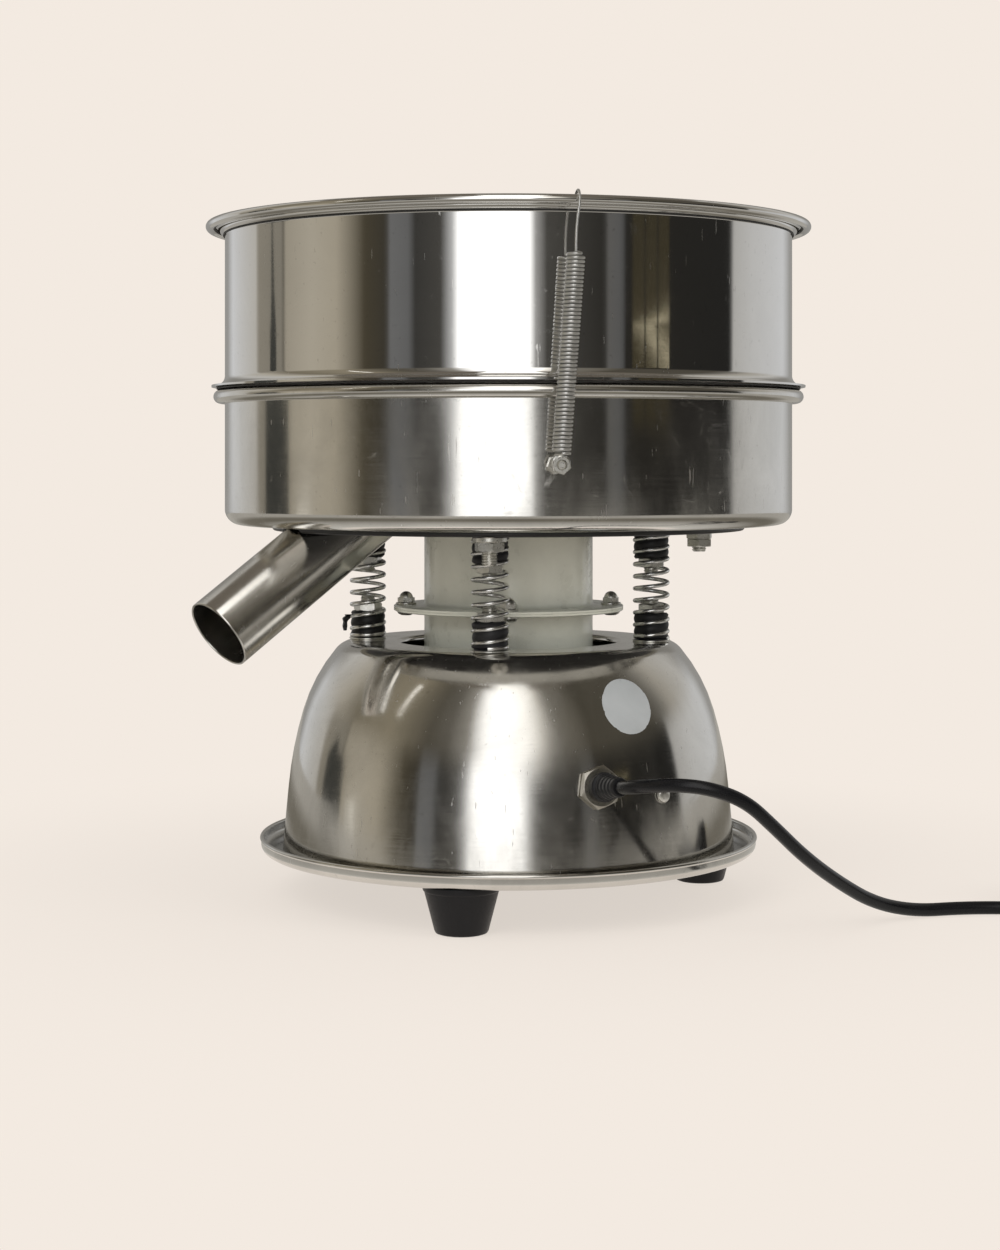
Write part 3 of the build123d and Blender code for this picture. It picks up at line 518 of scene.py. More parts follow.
def rounded(inner, outer, low, high, edge=0.25):
    """The closed outline of a washer with broken edges."""
    return [
        (inner, low + edge), (inner + edge, low), (outer - edge, low), (outer, low + edge),
        (outer, high - edge), (outer - edge, high), (inner + edge, high), (inner, high - edge),
    ]


# Screw threads and their nuts: radius, pitch and width across flats
m8_radius = 4.0
m8_pitch = 1.25
m8_flats = 13.0
m5_radius = 2.5
m5_pitch = 0.8
m5_flats = 8.0

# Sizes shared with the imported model
sheet = 1.0
foot_height = 24.0
foot_circle = 110.0
tray_floor_top = 25.0
dome_top = 134.0
deck_bottom = 193.0
deck_top = 196.0
pan_floor_top = 197.0
ring_bottom = 268.0
ring_top = 354.5
spring_bearings = {"front": -97.0, "right": -7.0, "back": 83.0, "left": 173.0}
spring_circle = 76.0
bolt_circle = 117.0
clamp_bearings = (-81.4, 38.6, 158.6)

# Cord: the route, then the coil just outside the picture, then the plug
cord_radius = 3.3
cord_rest = 3.4
plug_x, plug_z = 336.6, 16.5
route = [
    (53.9, -130.8, 73.9), (58.4, -141.8, 75.5), (66.1, -151.0, 77.4), (77.1, -157.9, 79.0),
    (93.0, -161.0, 78.0), (110.5, -158.3, 71.5), (125.0, -147.5, 57.5), (141.0, -132.0, 41.0),
    (160.0, -109.0, 25.0), (181.0, -87.0, 10.5), (204.0, -71.0, 3.4), (229.0, -63.0, 3.4),
    (254.0, -62.5, 3.4), (279.0, -67.0, 3.4),
]
coil_centre = (302.0, -31.4)
coil_radius = 34.6
coil_turns = 5.25
coil_shifts = ((0.60, -1, 0), (1.44, 0, 1), (2.28, 1, 0), (3.12, 0, 1), (3.96, -1, 0), (4.94, 1, 0))
steps_per_turn = 16
lead = list(route)
for step in range(int(coil_turns * steps_per_turn) + 1):
    turn = step / steps_per_turn
    column, layer = 0.5, 0.0
    for start, sideways, upward in coil_shifts:
        column += sideways * ease((turn - start) / 0.16)
        layer += upward * ease((turn - start) / 0.16)
    hump = 4.0 * math.sin(math.pi * min(1.0, max(0.0, (turn - 4.85) / 0.5))) ** 2
    reach = (coil_radius + column * 2 * cord_radius) * 1.014
    angle = math.tau * turn - math.pi / 2
    lead.append((
        coil_centre[0] + reach * math.cos(angle),
        coil_centre[1] + reach * math.sin(angle),
        cord_rest + layer * 2 * cord_radius + hump,
    ))
lead += [(338.2, -20.0, 18.6), (336.9, -8.0, 17.0), (plug_x, 2.0, plug_z), (plug_x, 9.5, plug_z)]

cord_curve = bpy.data.curves.new("power_lead", "CURVE")
cord_curve.dimensions = "3D"
cord_curve.bevel_depth = cord_radius * MM
cord_curve.bevel_resolution = 6
cord_curve.resolution_u = 8
cord_curve.use_fill_caps = True
spline = cord_curve.splines.new("NURBS")
spline.points.add(len(lead) - 1)
for point, place in zip(spline.points, lead):
    point.co = (*(Vector(place) * MM), 1.0)
spline.order_u = 3
spline.use_endpoint_u = True
cord_curve.materials.append(cord_jacket)
cord_piece = add_object("power_lead", cord_curve)
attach(cord_piece, "base")
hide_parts("power_cord", "cord_coil")

# Plug: a ribbed grip, a round face with a rim, and two slotted pins
plug_place = along((plug_x, 8.6, plug_z), (0, 1, 0))
plug = Shape()
grip = [(3.4, -6.0)]
for rib in range(8):
    low = -5.0 + rib * 2.4
    width = 4.7 + 5.4 * ease((rib + 0.5) / 8)
    grip += [(width - 0.7, low), (width, low + 0.5), (width, low + 1.4), (width - 0.7, low + 1.9)]
grip += [(10.4, 15.0), (12.5, 16.5), (14.8, 19.0), (15.9, 22.0), (16.2, 26.0), (16.2, 44.0), (16.4, 45.0),
         (16.4, 49.6), (15.6, 50.6), (14.2, 51.0), (13.8, 50.4), (0.0, 50.4)]
plug.lathe([(0.0, -6.0)] + grip, 72, closed=False, place=plug_place)
plug_piece = plug.build("plug_grip", plug_plastic, "base", ["plug_body"], sharp=28.0)
pins = Shape()
for side in (-1, 1):
    pin_place = along((plug_x, 58.6, plug_z + 9.5 * side), (0, 1, 0))
    pin = [(0, 0), (2.4, 0), (2.4, 17.2), (2.0, 18.5), (1.2, 19.8), (0, 20.0)]
    pins.lathe(pin, 28, closed=False, place=pin_place)
pins_piece = pins.build("plug_contacts", plug_brass, "base", ["plug_pins"])

# Feet: moulded rubber cones with a step round the foot and a sunk fixing screw
for foot_name, bearing in (("front", -102.0), ("right", 18.0), ("left", -222.0)):
    foot = Shape().lathe(
        [(2.8, 8.0), (6.5, 8.0), (6.5, 0.4), (6.9, 0.0), (11.6, 0.0), (12.7, 0.4), (13.3, 1.4), (18.3, 20.6),
         (18.8, 21.0), (19.0, 21.6), (19.0, 23.6), (18.7, 24.0), (2.8, 24.0)],
        72, place=upright(foot_circle, bearing),
    )
    foot.build(f"rubber_foot_{foot_name}", foot_rubber, "base", [f"foot_{foot_name}"])

# Tray: a shallow dish with a wired edge
tray_trail = course((0.0, foot_height + 0.5), 0, 127.0, (3.5, 90), 3.0)
tray = turned_sheet(tray_trail)
tray.lathe(bead(130.5, foot_height + 7.0, 1.1, 16), 360)
tray.build("tray_dish", tray_steel, "base", ["base_tray"], sharp=50.0)

# Dome: an inverted bowl with a lipped hole in its top
dome_trail = course((58.2, dome_top - 3.5), 90, 1.0, (2.0, -90), 22.3,
                    (11.5, -50.0), (88.5, -23.5), (210.5, -11.1))
last_x, last_z, last_heading = dome_trail[-1]
dome_run = (last_z - tray_floor_top) / sine(-last_heading)
dome_trail += course((last_x, last_z), last_heading, dome_run * 0.5, dome_run * 0.5)[1:]
dome = turned_sheet(dome_trail)
dome.build("dome_shell", dome_steel, "base", ["base_dome"], sharp=50.0)
shoulder_step = 20


def dome_face(height):
    """Outer radius of the dome and the tilt of its face at a height."""
    for (x0, z0, h0), (x1, z1, h1) in zip(dome_trail[shoulder_step:], dome_trail[shoulder_step + 1:]):
        if z1 <= height <= z0:
            share = (z0 - height) / max(z0 - z1, 1e-6)
            tilt = 90 + h0 + (h1 - h0) * share
            return x0 + (x1 - x0) * share + sheet / 2 * cosine(tilt), tilt


# Plain round sticker on the dome, with nothing on it
sticker_bearing, sticker_height, sticker_radius = -55.8, 108.3, 15.2
disc = []
for ring_step in range(9):
    row = []
    for side in range(48):
        turn = math.tau * side / 48
        size = sticker_radius * ring_step / 8
        height = sticker_height + size * math.sin(turn) * cosine(dome_face(sticker_height)[1])
        radius, tilt = dome_face(height)
        bearing = sticker_bearing + math.degrees(size * math.cos(turn) / radius)
        lift = 0.18 if ring_step < 8 else 0.02
        row.append(polar(radius + lift * cosine(tilt), bearing, height + lift * sine(tilt)))
    disc.append(row)
Shape().grid(disc).build("blank_sticker", sticker_vinyl, "base")

# Deck springs: round wire with its end turns closed, wound over rubber sleeves
wire = 1.1
spring_radius = 8.65
spring_foot = 136.0
spring_rise = 55.0
spring_pitch = 6.4
closed_turns = 0.7
closed_pitch = 2.1
open_turns = (spring_rise - 2 * closed_turns * closed_pitch) / spring_pitch
spring_turns = open_turns + 2 * closed_turns


def spring_height(turn):
    """Height of the wire above the spring's foot after a number of turns."""
    if turn < closed_turns:
        return turn * closed_pitch
    if turn > closed_turns + open_turns:
        return spring_rise - (spring_turns - turn) * closed_pitch
    return closed_turns * closed_pitch + (turn - closed_turns) * spring_pitch


def spring_turn(height):
    """Number of turns after which the wire is at a height above the spring's foot."""
    low = closed_turns * closed_pitch
    if height < low:
        return height / closed_pitch
    if height > spring_rise - low:
        return spring_turns - (spring_rise - height) / closed_pitch
    return closed_turns + (height - low) / spring_pitch


sleeve_sides = 56


def sleeve(shape, place, low, high, seed, ragged):
    """A rubber sleeve that swells out between the spring's turns, ragged towards its open end."""
    rows = []
    steps = 34
    for step in range(steps + 1):
        share = step / steps
        z = low + (high - low) * share
        row = []
        for side in range(sleeve_sides):
            turn = side / sleeve_sides
            phase = spring_turn(z - spring_foot) - turn
            swell = abs(math.sin(math.pi * phase)) ** 0.7
            lump = noise.noise(Vector((turn * 6.0, z * 0.22, seed))) * 0.35
            size = 7.6 + swell * (1.65 + lump)
            size *= 1 - 0.10 * ease((share - 0.93) / 0.07) - 0.06 * ease((0.04 - share) / 0.04)
            height = z + ragged * share * noise.noise(Vector(around(1.3, turn * math.tau, seed)))
            row.append(around(size, turn * math.tau, height))
        rows.append(row)
    inner = [circle(4.1, sleeve_sides, z) for z in (high, low)]
    shape.grid(rows + inner, loop=True, place=place)


spring_steps = int(spring_turns * 40)
for side_name, bearing in spring_bearings.items():
    spring_place = upright(spring_circle, bearing)
    coil = []
    for step in range(spring_steps + 1):
        turn = spring_turns * step / spring_steps
        point = around(spring_radius, math.tau * turn, spring_foot + spring_height(turn))
        coil.append(spring_place @ Vector(point))
    deck_spring = Shape().tube(coil, wire, 12)
    replaced = [f"spring_{side_name}"]
    spring_piece = deck_spring.build(f"coil_spring_{side_name}", spring_wire, None, replaced, 60.0)
    middle = polar(spring_circle, bearing)
    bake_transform(spring_piece)

sleeves, nuts, studs, seats = ({end: Shape() for end in ("lower", "upper")} for _ in range(4))
for number, bearing in enumerate(spring_bearings.values()):
    place = upright(spring_circle, bearing)
    sleeve(sleeves["lower"], place, 135.0, 149.0, number * 7.3, 0.5)
    sleeve(sleeves["upper"], place, 192.0, 178.0, number * 5.1 + 40, -0.9)
    nuts["lower"].hexagon(m8_flats, 149.0, 153.6, m8_radius, place @ spun((14, -23, 41, 8)[number]))
    nuts["upper"].hexagon(m8_flats, 173.4, 178.0, m8_radius, place @ spun((3, 31, -12, 22)[number]))
    studs["lower"].thread(m8_radius, m8_pitch, 147.0, 157.1, place)
    studs["lower"].hexagon(m8_flats, dome_top - sheet - 3.5, dome_top - sheet, 0.0, place @ spun(30))
    studs["upper"].thread(m8_radius, m8_pitch, 180.0, 169.9, place)
    studs["upper"].hexagon(m8_flats, pan_floor_top, pan_floor_top + 3.5, 0.0, place, ends=(False, True))
    seats["lower"].lathe(rounded(4.25, 9.9, 134.0, 135.0), 56, place=place)
    seats["upper"].lathe(rounded(4.25, 9.9, 192.0, 193.0), 56, place=place)

# A torn tongue of rubber hangs off the left spring's lower sleeve
tongue = []
for step in range(13):
    share = step / 12
    drop = 8.0 * share ** 2 + 0.4 * share
    middle = Vector((-83.6 - 3.2 * math.sin(share * 1.9), -3.0 - 2.2 * share, 147.6 - drop))
    half = 2.6 * (1 - 0.5 * share) + 0.4 * math.sin(share * 19)
    thick = 2.0 * (1 - 0.66 * share) * (1 + 0.3 * math.sin(share * 16))
    corners = [(0.25 * half, -half, 0.3), (0, 0, 0.2), (-0.25 * half, half, 0)]
    one_face = [middle + Vector((x + thick, y, z)) for x, y, z in corners]
    other_face = [middle + Vector((x - thick, y, z)) for x, y, z in corners[::-1]]
    tongue.append(one_face + other_face)
sleeves["lower"].grid(tongue, capped=True)

for shapes, name, material, node, sharp in (
    (sleeves, "rubber_sleeves", rubber, "sleeves", 50.0), (nuts, "sleeve_nuts", zinc, "nuts", 20.0),
    (studs, "sleeve_bolts", zinc, "studs", 24.0), (seats, "seat_washers", zinc, "spring_seats", 34.0),
):
    for end, body in (("lower", "base"), ("upper", "deck")):
        shapes[end].build(f"{name}_{end}", material, body, [f"{end}_{node}"], sharp)

# Spout: a straight tube from the pan's floor to its open mouth, with a seam weld along it
spout_bearing = -143.0
spout_slope = 34.3
mouth = Vector((-144.1, -85.0, 143.5))
spout_run = polar(cosine(spout_slope), spout_bearing + 180, sine(spout_slope))
across = Vector((0, 0, 1)).cross(spout_run).normalized()
rising = spout_run.cross(across)


def spout_point(radius, turn, distance):
    """A point by its distance from the tube's axis, its turn round it and its distance from the mouth."""
    return mouth + spout_run * distance + (across * math.cos(turn) + rising * math.sin(turn)) * radius


def spout_ring(radius, distance, plane_height=None):
    """A ring of the tube at a distance from the mouth, or where the tube meets a level plane."""
    ring = [spout_point(radius, math.tau * side / 96, distance) for side in range(96)]
    if plane_height is not None:
        ring = [point + spout_run * ((plane_height - point.z) / spout_run.z) for point in ring]
    return ring


def spout_rows(radius):
    """Rings of one face of the spout, from the mouth to the pan's floor."""
    rows = [spout_ring(radius, distance) for distance in (0.18, 0.6, 2.0, 8.0, 20.0, 34.0, 48.0, 60.0)]
    return rows + [spout_ring(radius, 0, deck_top + 0.4)]


lip_rows = [spout_ring(radius, 0.0) for radius in (18.85, 18.5, 18.15)]
chute = Shape().grid(spout_rows(19.0)[::-1] + lip_rows + spout_rows(18.0), loop=True)
seam = []
for step in range(160):
    turn = math.radians(-128) + 0.006 * math.sin(step * 0.9) + 0.004 * math.sin(step * 2.3)
    seam.append(spout_point(18.95, turn, 0.6 + 100.0 * step / 159))
chute.tube([point for point in seam if point.z < deck_top], 0.3, 8)
chute.build("spout_tube", tube_steel, "deck", ["spout"], sharp=40.0)


def spout_cutter(radius):
    """A rod along the spout through the deck and the pan's floor."""
    rings = [spout_ring(radius, 0, height) for height in (180.0, 222.0)]
    return Shape().grid(rings, capped=True).build("spout_cutter", zinc)


# Deck plate and pan, cut where the spout passes
deck = Shape().lathe([
    (0, deck_bottom), (124.4, deck_bottom), (125.0, deck_bottom + 0.6), (125.0, deck_top - 0.6),
    (124.4, deck_top - 0.04), (0, deck_top - 0.04),
], 240, closed=False)
deck.build("deck_disc", deck_paint, "deck", ["deck_plate"], 50.0, spout_cutter(20.4))
pan_trail = course((0.0, deck_top + 0.5), 0, 70.0, 72.0, (7.5, 90), 59.0)
pan = turned_sheet(pan_trail)
pan.build("pan_bowl", pan_steel, "deck", ["lower_pan"], 50.0, spout_cutter(18.0))
Shape().lathe(bead(152.5, 263.0, 3.5, 30), 360).build("pan_rim", pan_steel, "deck", sharp=50.0)

# Bolts that hold the pan to the deck, each with a washer and a nut below
bolts, bolt_nuts, washers = Shape(), Shape(), Shape()
for number in range(3):
    place = upright(bolt_circle, -94.5 + 120 * number)
    head = [(0, pan_floor_top), (6.5, pan_floor_top), (6.5, 198.6), (5.9, 199.7), (4.6, 200.3), (0, 200.5)]
    bolts.lathe(head, 40, closed=False, place=place)
    bolts.thread(m8_radius, m8_pitch, 194.0, 178.9, place)
    washers.lathe(rounded(4.25, 8.5, 190.5, 193.0, 0.4), 56, place=place)
    bolt_nuts.hexagon(m8_flats, 185.9, 190.5, m8_radius, place @ spun((17, -8, 26)[number]))
    if number == 1:
        bolt_nuts.hexagon(m8_flats, 181.7, 185.8, m8_radius, place)
bolts.build("pan_bolts", zinc, "deck", ["deck_bolts"], sharp=24.0)
washers.build("pan_washers", zinc, "deck", ["deck_washers"])
bolt_nuts.build("pan_nuts", zinc, "deck", ["deck_nuts"], sharp=20.0)

# Motor: two painted cups with bolted flanges
cup = 44.8
shell = 1.5
split = 151.5
flange_circle = 54.5


def cup_outline(hub, end, up):
    """A drawn cup from its end to its flange at the split; up is 1 above the split and -1 below."""
    return [
        (hub, end), (cup - 2.5, end), (cup - 0.7, end - 0.7 * up), (cup, end - 2.5 * up),
        (cup, split + 3.6 * up), (cup + 0.3, split + 2.6 * up), (cup + 1.0, split + 1.8 * up),
        (cup + 2.2, split + shell * up), (60.4, split + shell * up), (61.0, split + (shell - 0.4) * up),
        (61.0, split + 0.12 * up), (60.8, split + 0.02 * up), (cup - shell, split + 0.02 * up),
        (cup - shell, end - shell * up), (hub, end - shell * up),
    ]


upper_cup = Shape().lathe(cup_outline(0, 193.0, 1), 200, closed=False)
upper_cup.build("motor_cup_upper", motor_paint, "deck", ["motor_upper_housing"], 40.0)
lower_cup = Shape().lathe(cup_outline(7.0, 106.0, -1), 200)
lower_cup.build("motor_cup_lower", motor_paint, "deck", ["motor_lower_housing"], 40.0)
flange_bolts, flange_nuts = Shape(), Shape()
for number in range(4):
    place = upright(flange_circle, 90.0 * number)
    head = [(0, 147.0), (2.6, 147.2), (4.2, 148.0), (5.0, 149.2), (5.0, 150.0), (0, 150.0)]
    flange_bolts.lathe(head, 36, closed=False, place=place)
    flange_bolts.thread(m5_radius, m5_pitch, 152.0, 156.5, place, 20)
    spin = spun((21, 5, 12, -17)[number])
    flange_nuts.lathe(rounded(2.55, 5.5, split + shell, split + shell + 1.0, 0.3), 40, place=place)
    foot = split + shell + 1.0
    flange_nuts.hexagon(m5_flats, foot, foot + 2.6, m5_radius, place @ spin, (True, False))
    flange_nuts.lathe([(3.4, 155.9)] + crown(3.7, 3.7, 156.2), 36, closed=False, place=place)
flange_bolts.build("flange_bolts", zinc, "deck", ["motor_flange_bolts"], sharp=24.0)
flange_nuts.build("flange_nuts", zinc, "deck", ["motor_flange_nuts"], sharp=20.0)

# Hopper ring: rolled wall, foot flange, stepped and wired rim
step_rise = 2 * 1.8 * sine(75)
rim_x, rim_z = 157.6, ring_top - 2.4
wall_end = rim_z - 1.8 - step_rise
ring_trail = course((157.0, ring_bottom + 0.5), 180, 2.0, (5.5, -90), 20.0, 20.0, wall_end - 274.0 - 40.0,
                    (1.8, -75), (1.8, 75), (1.8, -90), 3.63)
hopper = turned_sheet(ring_trail)
hopper.lathe(bead(rim_x, rim_z, 2.4, 24), 360)
hopper.build("hopper_ring", ring_steel, "upper_frame", ["upper_ring"], sharp=50.0)
# Thin dark rings laid in the rim's grooves: painted shade in the creases.
groove_shade_rings = Shape().lathe(bead(155.3, rim_z - 0.95, 0.5, 12), 360)
groove_shade_rings.lathe(bead(150.6, wall_end + 0.9, 0.45, 12), 360)
groove_shade_rings.build("rim_groove_shade", gasket_rubber_and_groove_shade, "upper_frame")

# Screen cloth between the ring and its gasket
cloth = Shape()
for height in (267.62, 267.98):
    cloth.lathe([(0.0, height), (60.0, height), (110.0, height), (154.6, height)], 180, closed=False)
cloth.build("screen_weave", screen_wire, "upper_frame", ["screen_cloth"])
Shape().lathe(rounded(150.0, 154.4, 266.8, 267.6, 0.2), 240).build(
    "gasket_ring", gasket_rubber_and_groove_shade, "upper_frame", ["screen_gasket"])

# Spring clamps: stud, two nuts, a close-wound coil with its eye, and the hook over the rim
clamp_radius = 161.9
clamp_stud_height = 228.0
hook_top = 356.7
rim_inside = 149.0
front_lean = 4.2
clamp_wire_radius = 0.65
coil_wire_radius = 0.78
coil_mean = 3.82
eye_centre = 0.75
coil_start = 4.75
coil_end = 98.75
eye_steps = 30
clamp_turns = 50
clamp_pitch = (coil_end - coil_start - 1.0) / clamp_turns
clamp_studs, clamp_nuts = Shape(), Shape()
arch = (clamp_radius - rim_inside + clamp_wire_radius) / 2 + 0.3
for number, bearing in enumerate(clamp_bearings):
    stud = outward(clamp_radius, bearing, clamp_stud_height)
    from_wall = outward(0.0, bearing, clamp_stud_height)
    tilt = 0.0 if number else front_lean
    lean = stud.to_3x3() @ Vector((sine(tilt), cosine(tilt), 0.0))
    shoulder = (hook_top - clamp_stud_height) / cosine(tilt) - arch
    away = stud.to_3x3() @ Vector((0.0, 0.0, 1.0))
    side = away.cross(lean)
    foot = stud.translation

    def at(height, out=0.0, sideways=0.0):
        """A point by its height along the clamp, its way out from the wall and its way sideways."""
        return foot + lean * height + away * out + side * sideways

    head = [(0, 146.0), (3.4, 146.0), (4.2, 147.0), (4.2, 148.4), (0, 148.4)]
    clamp_studs.lathe(head, 32, closed=False, place=from_wall)
    clamp_studs.thread(m5_radius, m5_pitch, 148.0, 165.95, from_wall, 22)
    clamp_nuts.hexagon(m5_flats, 150.05, 153.0, m5_radius, from_wall @ spun((12, 40, -9)[number]))
    clamp_nuts.hexagon(m5_flats, 162.6, 165.6, m5_radius, from_wall @ spun((-18, 7, 25)[number]))

    wound = []
    for step in range(1, eye_steps + 1):
        share = step / eye_steps
        turn = -68 - 306 * share
        wound.append(at(eye_centre + coil_mean * sine(turn), 0.9 * share - 0.2, -coil_mean * cosine(turn)))
    for step in range(1, 8):
        share = ease(step / 8)
        height = coil_start - 0.4 + 0.5 * step / 8
        wound.append(at(height, coil_mean * share * 0.9, coil_mean * (1 - share) * 0.9))
    for step in range(clamp_turns * 18 + 1):
        turn = math.tau * step / 18
        height = coil_start + 0.6 + clamp_pitch * step / 18
        wound.append(at(height, coil_mean * math.cos(turn), -coil_mean * math.sin(turn)))
    for step in range(1, 9):
        share = step / 8
        size = coil_mean * (1 - ease(share))
        wound.append(at(coil_end - 0.4 + 1.3 * share, size * cosine(150 * share), -size * sine(150 * share)))
    clamp = Shape().tube(wound, coil_wire_radius, 10)
    replaced = [f"clamp_spring_{number + 1}"]
    clamp_piece = clamp.build(f"clamp_coil_{number + 1}", clamp_wire, None, replaced, 60.0)
    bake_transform(clamp_piece)

    bent = [at(coil_end + 0.9 + (shoulder - coil_end - 0.9) * step / 10,
               0.0, 0.5 * math.sin(math.pi * step / 10)) for step in range(11)]
    for turn in range(10, 181, 10):
        bent.append(at(shoulder + arch * sine(turn), -arch + arch * cosine(turn)))
    for step in range(1, 5):
        bent.append(at(shoulder - 7.0 * step / 4, -2 * arch + 0.12 * step))
    hook = Shape().tube(bent, clamp_wire_radius, 12)
    hook.build(f"clamp_wire_hook_{number + 1}", clamp_wire, "upper_frame", [f"clamp_hook_{number + 1}"], 60.0)
clamp_studs.build("clamp_bolts", zinc, "deck", ["clamp_studs"], sharp=24.0)
clamp_nuts.build("clamp_hex_nuts", zinc, "deck", ["clamp_nuts"], sharp=20.0)

# Cable gland, its boot, and the small screws in the dome's side
gland_radius = dome_face(70.5)[0]
gland = outward(gland_radius, -67.6, 70.5, 7.5)
gland_nut = Shape().hexagon(19.0, 0.05, 4.05, 7.2, gland @ spun(19))
gland_nut.lathe(rounded(7.2, 9.5, -4.6, -1.6, 0.3), 48, place=gland)
gland_nut.build("gland_hex_nut", dull_zinc, "base", ["gland_nuts"], sharp=20.0)
boot_profile = [(0, 3.0), (7.0, 3.0), (7.2, 4.2), (7.2, 8.0), (6.6, 8.6)]
for rib in range(5):
    low = 9.0 + rib * 3.2
    size = 6.2 - rib * 0.36
    boot_profile += [(size - 0.25, low), (size - 0.25, low + 0.5), (size, low + 0.8), (size, low + 2.6)]
boot_profile += [(4.5, 25.6), (4.2, 26.05), (3.2, 26.05), (0, 26.0)]
boot = Shape().lathe(boot_profile, 48, closed=False, place=gland)
boot_piece = boot.build("cable_boot", plug_plastic, "base", ["strain_relief"], sharp=30.0)

screws = Shape()
for number in range(2):
    bearing = -48.8 + 180 * number
    radius, tilt = dome_face(60.0)
    place = outward(radius + 0.05, bearing, 64.0)
    head = [(1.6, -3.0), (1.6, 0.0), (4.0, 0.0)] + crown(4.0, 2.0, 0.1, 0.8)
    screws.lathe(head, 36, closed=False, place=place)
screws.build("dome_side_screws", zinc, "base", ["dome_screws"], sharp=30.0)

# Materials of the CAD nodes that stay in view
finishes = {
    "foot_screws": zinc, "foot_nuts": zinc, "gland_body": plug_plastic, "dome_brackets": zinc,
    "run_capacitor": capacitor_case, "motor_mount_screws": zinc, "stator_core": lamination_steel,
    "stator_windings": copper, "bearing_upper": bearing_steel, "bearing_lower": bearing_steel,
    "motor_shaft": bearing_steel, "rotor_core": lamination_steel, "upper_weight": cast_iron,
    "lower_weight": cast_iron,
}
for node_name, material in finishes.items():
    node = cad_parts[node_name]
    if not node.data.materials:
        node.data.materials.append(material)
    for slot in node.material_slots:
        slot.link = "OBJECT"
        slot.material = material

# Studio: pale floor, pale surroundings, one broad lamp and panels that only reflections see
pale = (0.896, 0.823, 0.753)


def emission_material(name, colour=(1.0, 1.0, 1.0)):
    """A plain glow of one colour, and its node."""
    material, tree = new_material(name)
    tree.nodes.remove(tree.nodes["Principled BSDF"])
    glow = tree.nodes.new("ShaderNodeEmission")
    glow.inputs["Color"].default_value = (*colour, 1.0)
    tree.links.new(glow.outputs[0], tree.nodes["Material Output"].inputs["Surface"])
    return material, glow


def seen_or_mirrored(tree):
    """1 for camera, glossy and transmission rays, else 0."""
    rays = [add_node(tree, "LightPath", {}, f"Is {ray} Ray") for ray in ("Camera", "Glossy", "Transmission")]
    return calculate(tree, "MAXIMUM", calculate(tree, "MAXIMUM", rays[0], rays[1]), rays[2])


def distance_out(tree):
    """Distance from the object's origin, in metres."""
    place = add_node(tree, "TexCoord", {}, "Object")
    return add_node(tree, "VectorMath", {0: place}, "Value", operation="LENGTH")


world = bpy.data.worlds.new("studio")
scene.world = world
world.use_nodes = True
tree = world.node_tree
background = tree.nodes["Background"]
background.inputs["Color"].default_value = (0.62, 0.62, 0.62, 1.0)
surround = add_node(tree, "Background", {"Color": (*pale, 1.0)})
shown = add_node(tree, "MixShader", {0: seen_or_mirrored(tree), 1: background.outputs[0], 2: surround})
tree.links.new(shown, tree.nodes["World Output"].inputs["Surface"])

# Floor: its own colour near the object, where it takes the shadow, and the background's tone farther off
floor_edges = (-14000.0, 14000.0)
floor_shape = Shape().grid([[(x, y, -0.2) for x in floor_edges] for y in floor_edges], ring=False)
floor_material, tree = new_material("floor")
shade = tree.nodes["Principled BSDF"]
shade.inputs["Base Color"].default_value = (*pale, 1.0)
shade.inputs["Roughness"].default_value = 0.9
shade.inputs["Specular IOR Level"].default_value = 0.0
glow = add_node(tree, "Emission", {"Color": (*pale, 1.0)})
fade = add_node(tree, "MapRange", {
    "Value": distance_out(tree), "From Min": 0.13, "From Max": 0.50, "To Min": 0.74, "To Max": 1.0,
}, interpolation_type="SMOOTHSTEP")
share = calculate(tree, "MULTIPLY", seen_or_mirrored(tree), fade)
shown = add_node(tree, "MixShader", {0: share, 1: shade.outputs[0], 2: glow})
tree.links.new(shown, tree.nodes["Material Output"].inputs["Surface"])
floor_shape.build("floor", floor_material)


def lamp(name, place, aim, size, power):
    """A square area lamp that reflections don't show."""
    data = bpy.data.lights.new(name, "AREA")
    data.size = size
    data.energy = power
    item = add_object(name, data)
    item.location = place
    item.rotation_euler = (Vector(aim) - Vector(place)).to_track_quat("-Z", "Y").to_euler()
    item.visible_glossy = False


lamp("key", (-0.9, -1.9, 1.6), (0, 0, 0.2), 1.3, 26.0)
lamp("fill", (1.8, -1.2, 1.1), (0, 0, 0.2), 1.6, 12.0)

# Reflection screen round the set: bearing from the camera's side, negative to the left, lightness and warmth
low_tones = [
    (-180, 0.26, 12), (-152, 0.34, 6), (-142, 0.66, -2), (-116, 0.52, 12), (-115, 0.28, 25),
    (-98, 0.25, 24), (-97.3, 0.08, 25), (-96, 0.37, 27), (-81, 0.46, 26), (-69, 0.42, 29),
    (-56, 0.07, 43), (-46.5, 0.05, 30), (-46, 0.17, 0), (-37, 0.14, 0), (-36, 0.045, 11), (-25, 0.07, 14),
    (-20.5, 0.60, 0), (-18.5, 1.70, 1), (7.5, 1.70, 1), (9.5, 0.40, 5), (14, 0.07, 14), (36.5, 0.03, 17),
    (37, 0.13, 8), (43.5, 0.11, 0), (44, 0.025, 20), (95.3, 0.02, 10), (96.8, 0.50, 6), (110, 0.58, 2),
    (140, 0.64, -2), (153, 0.34, 6), (180, 0.26, 12),
]
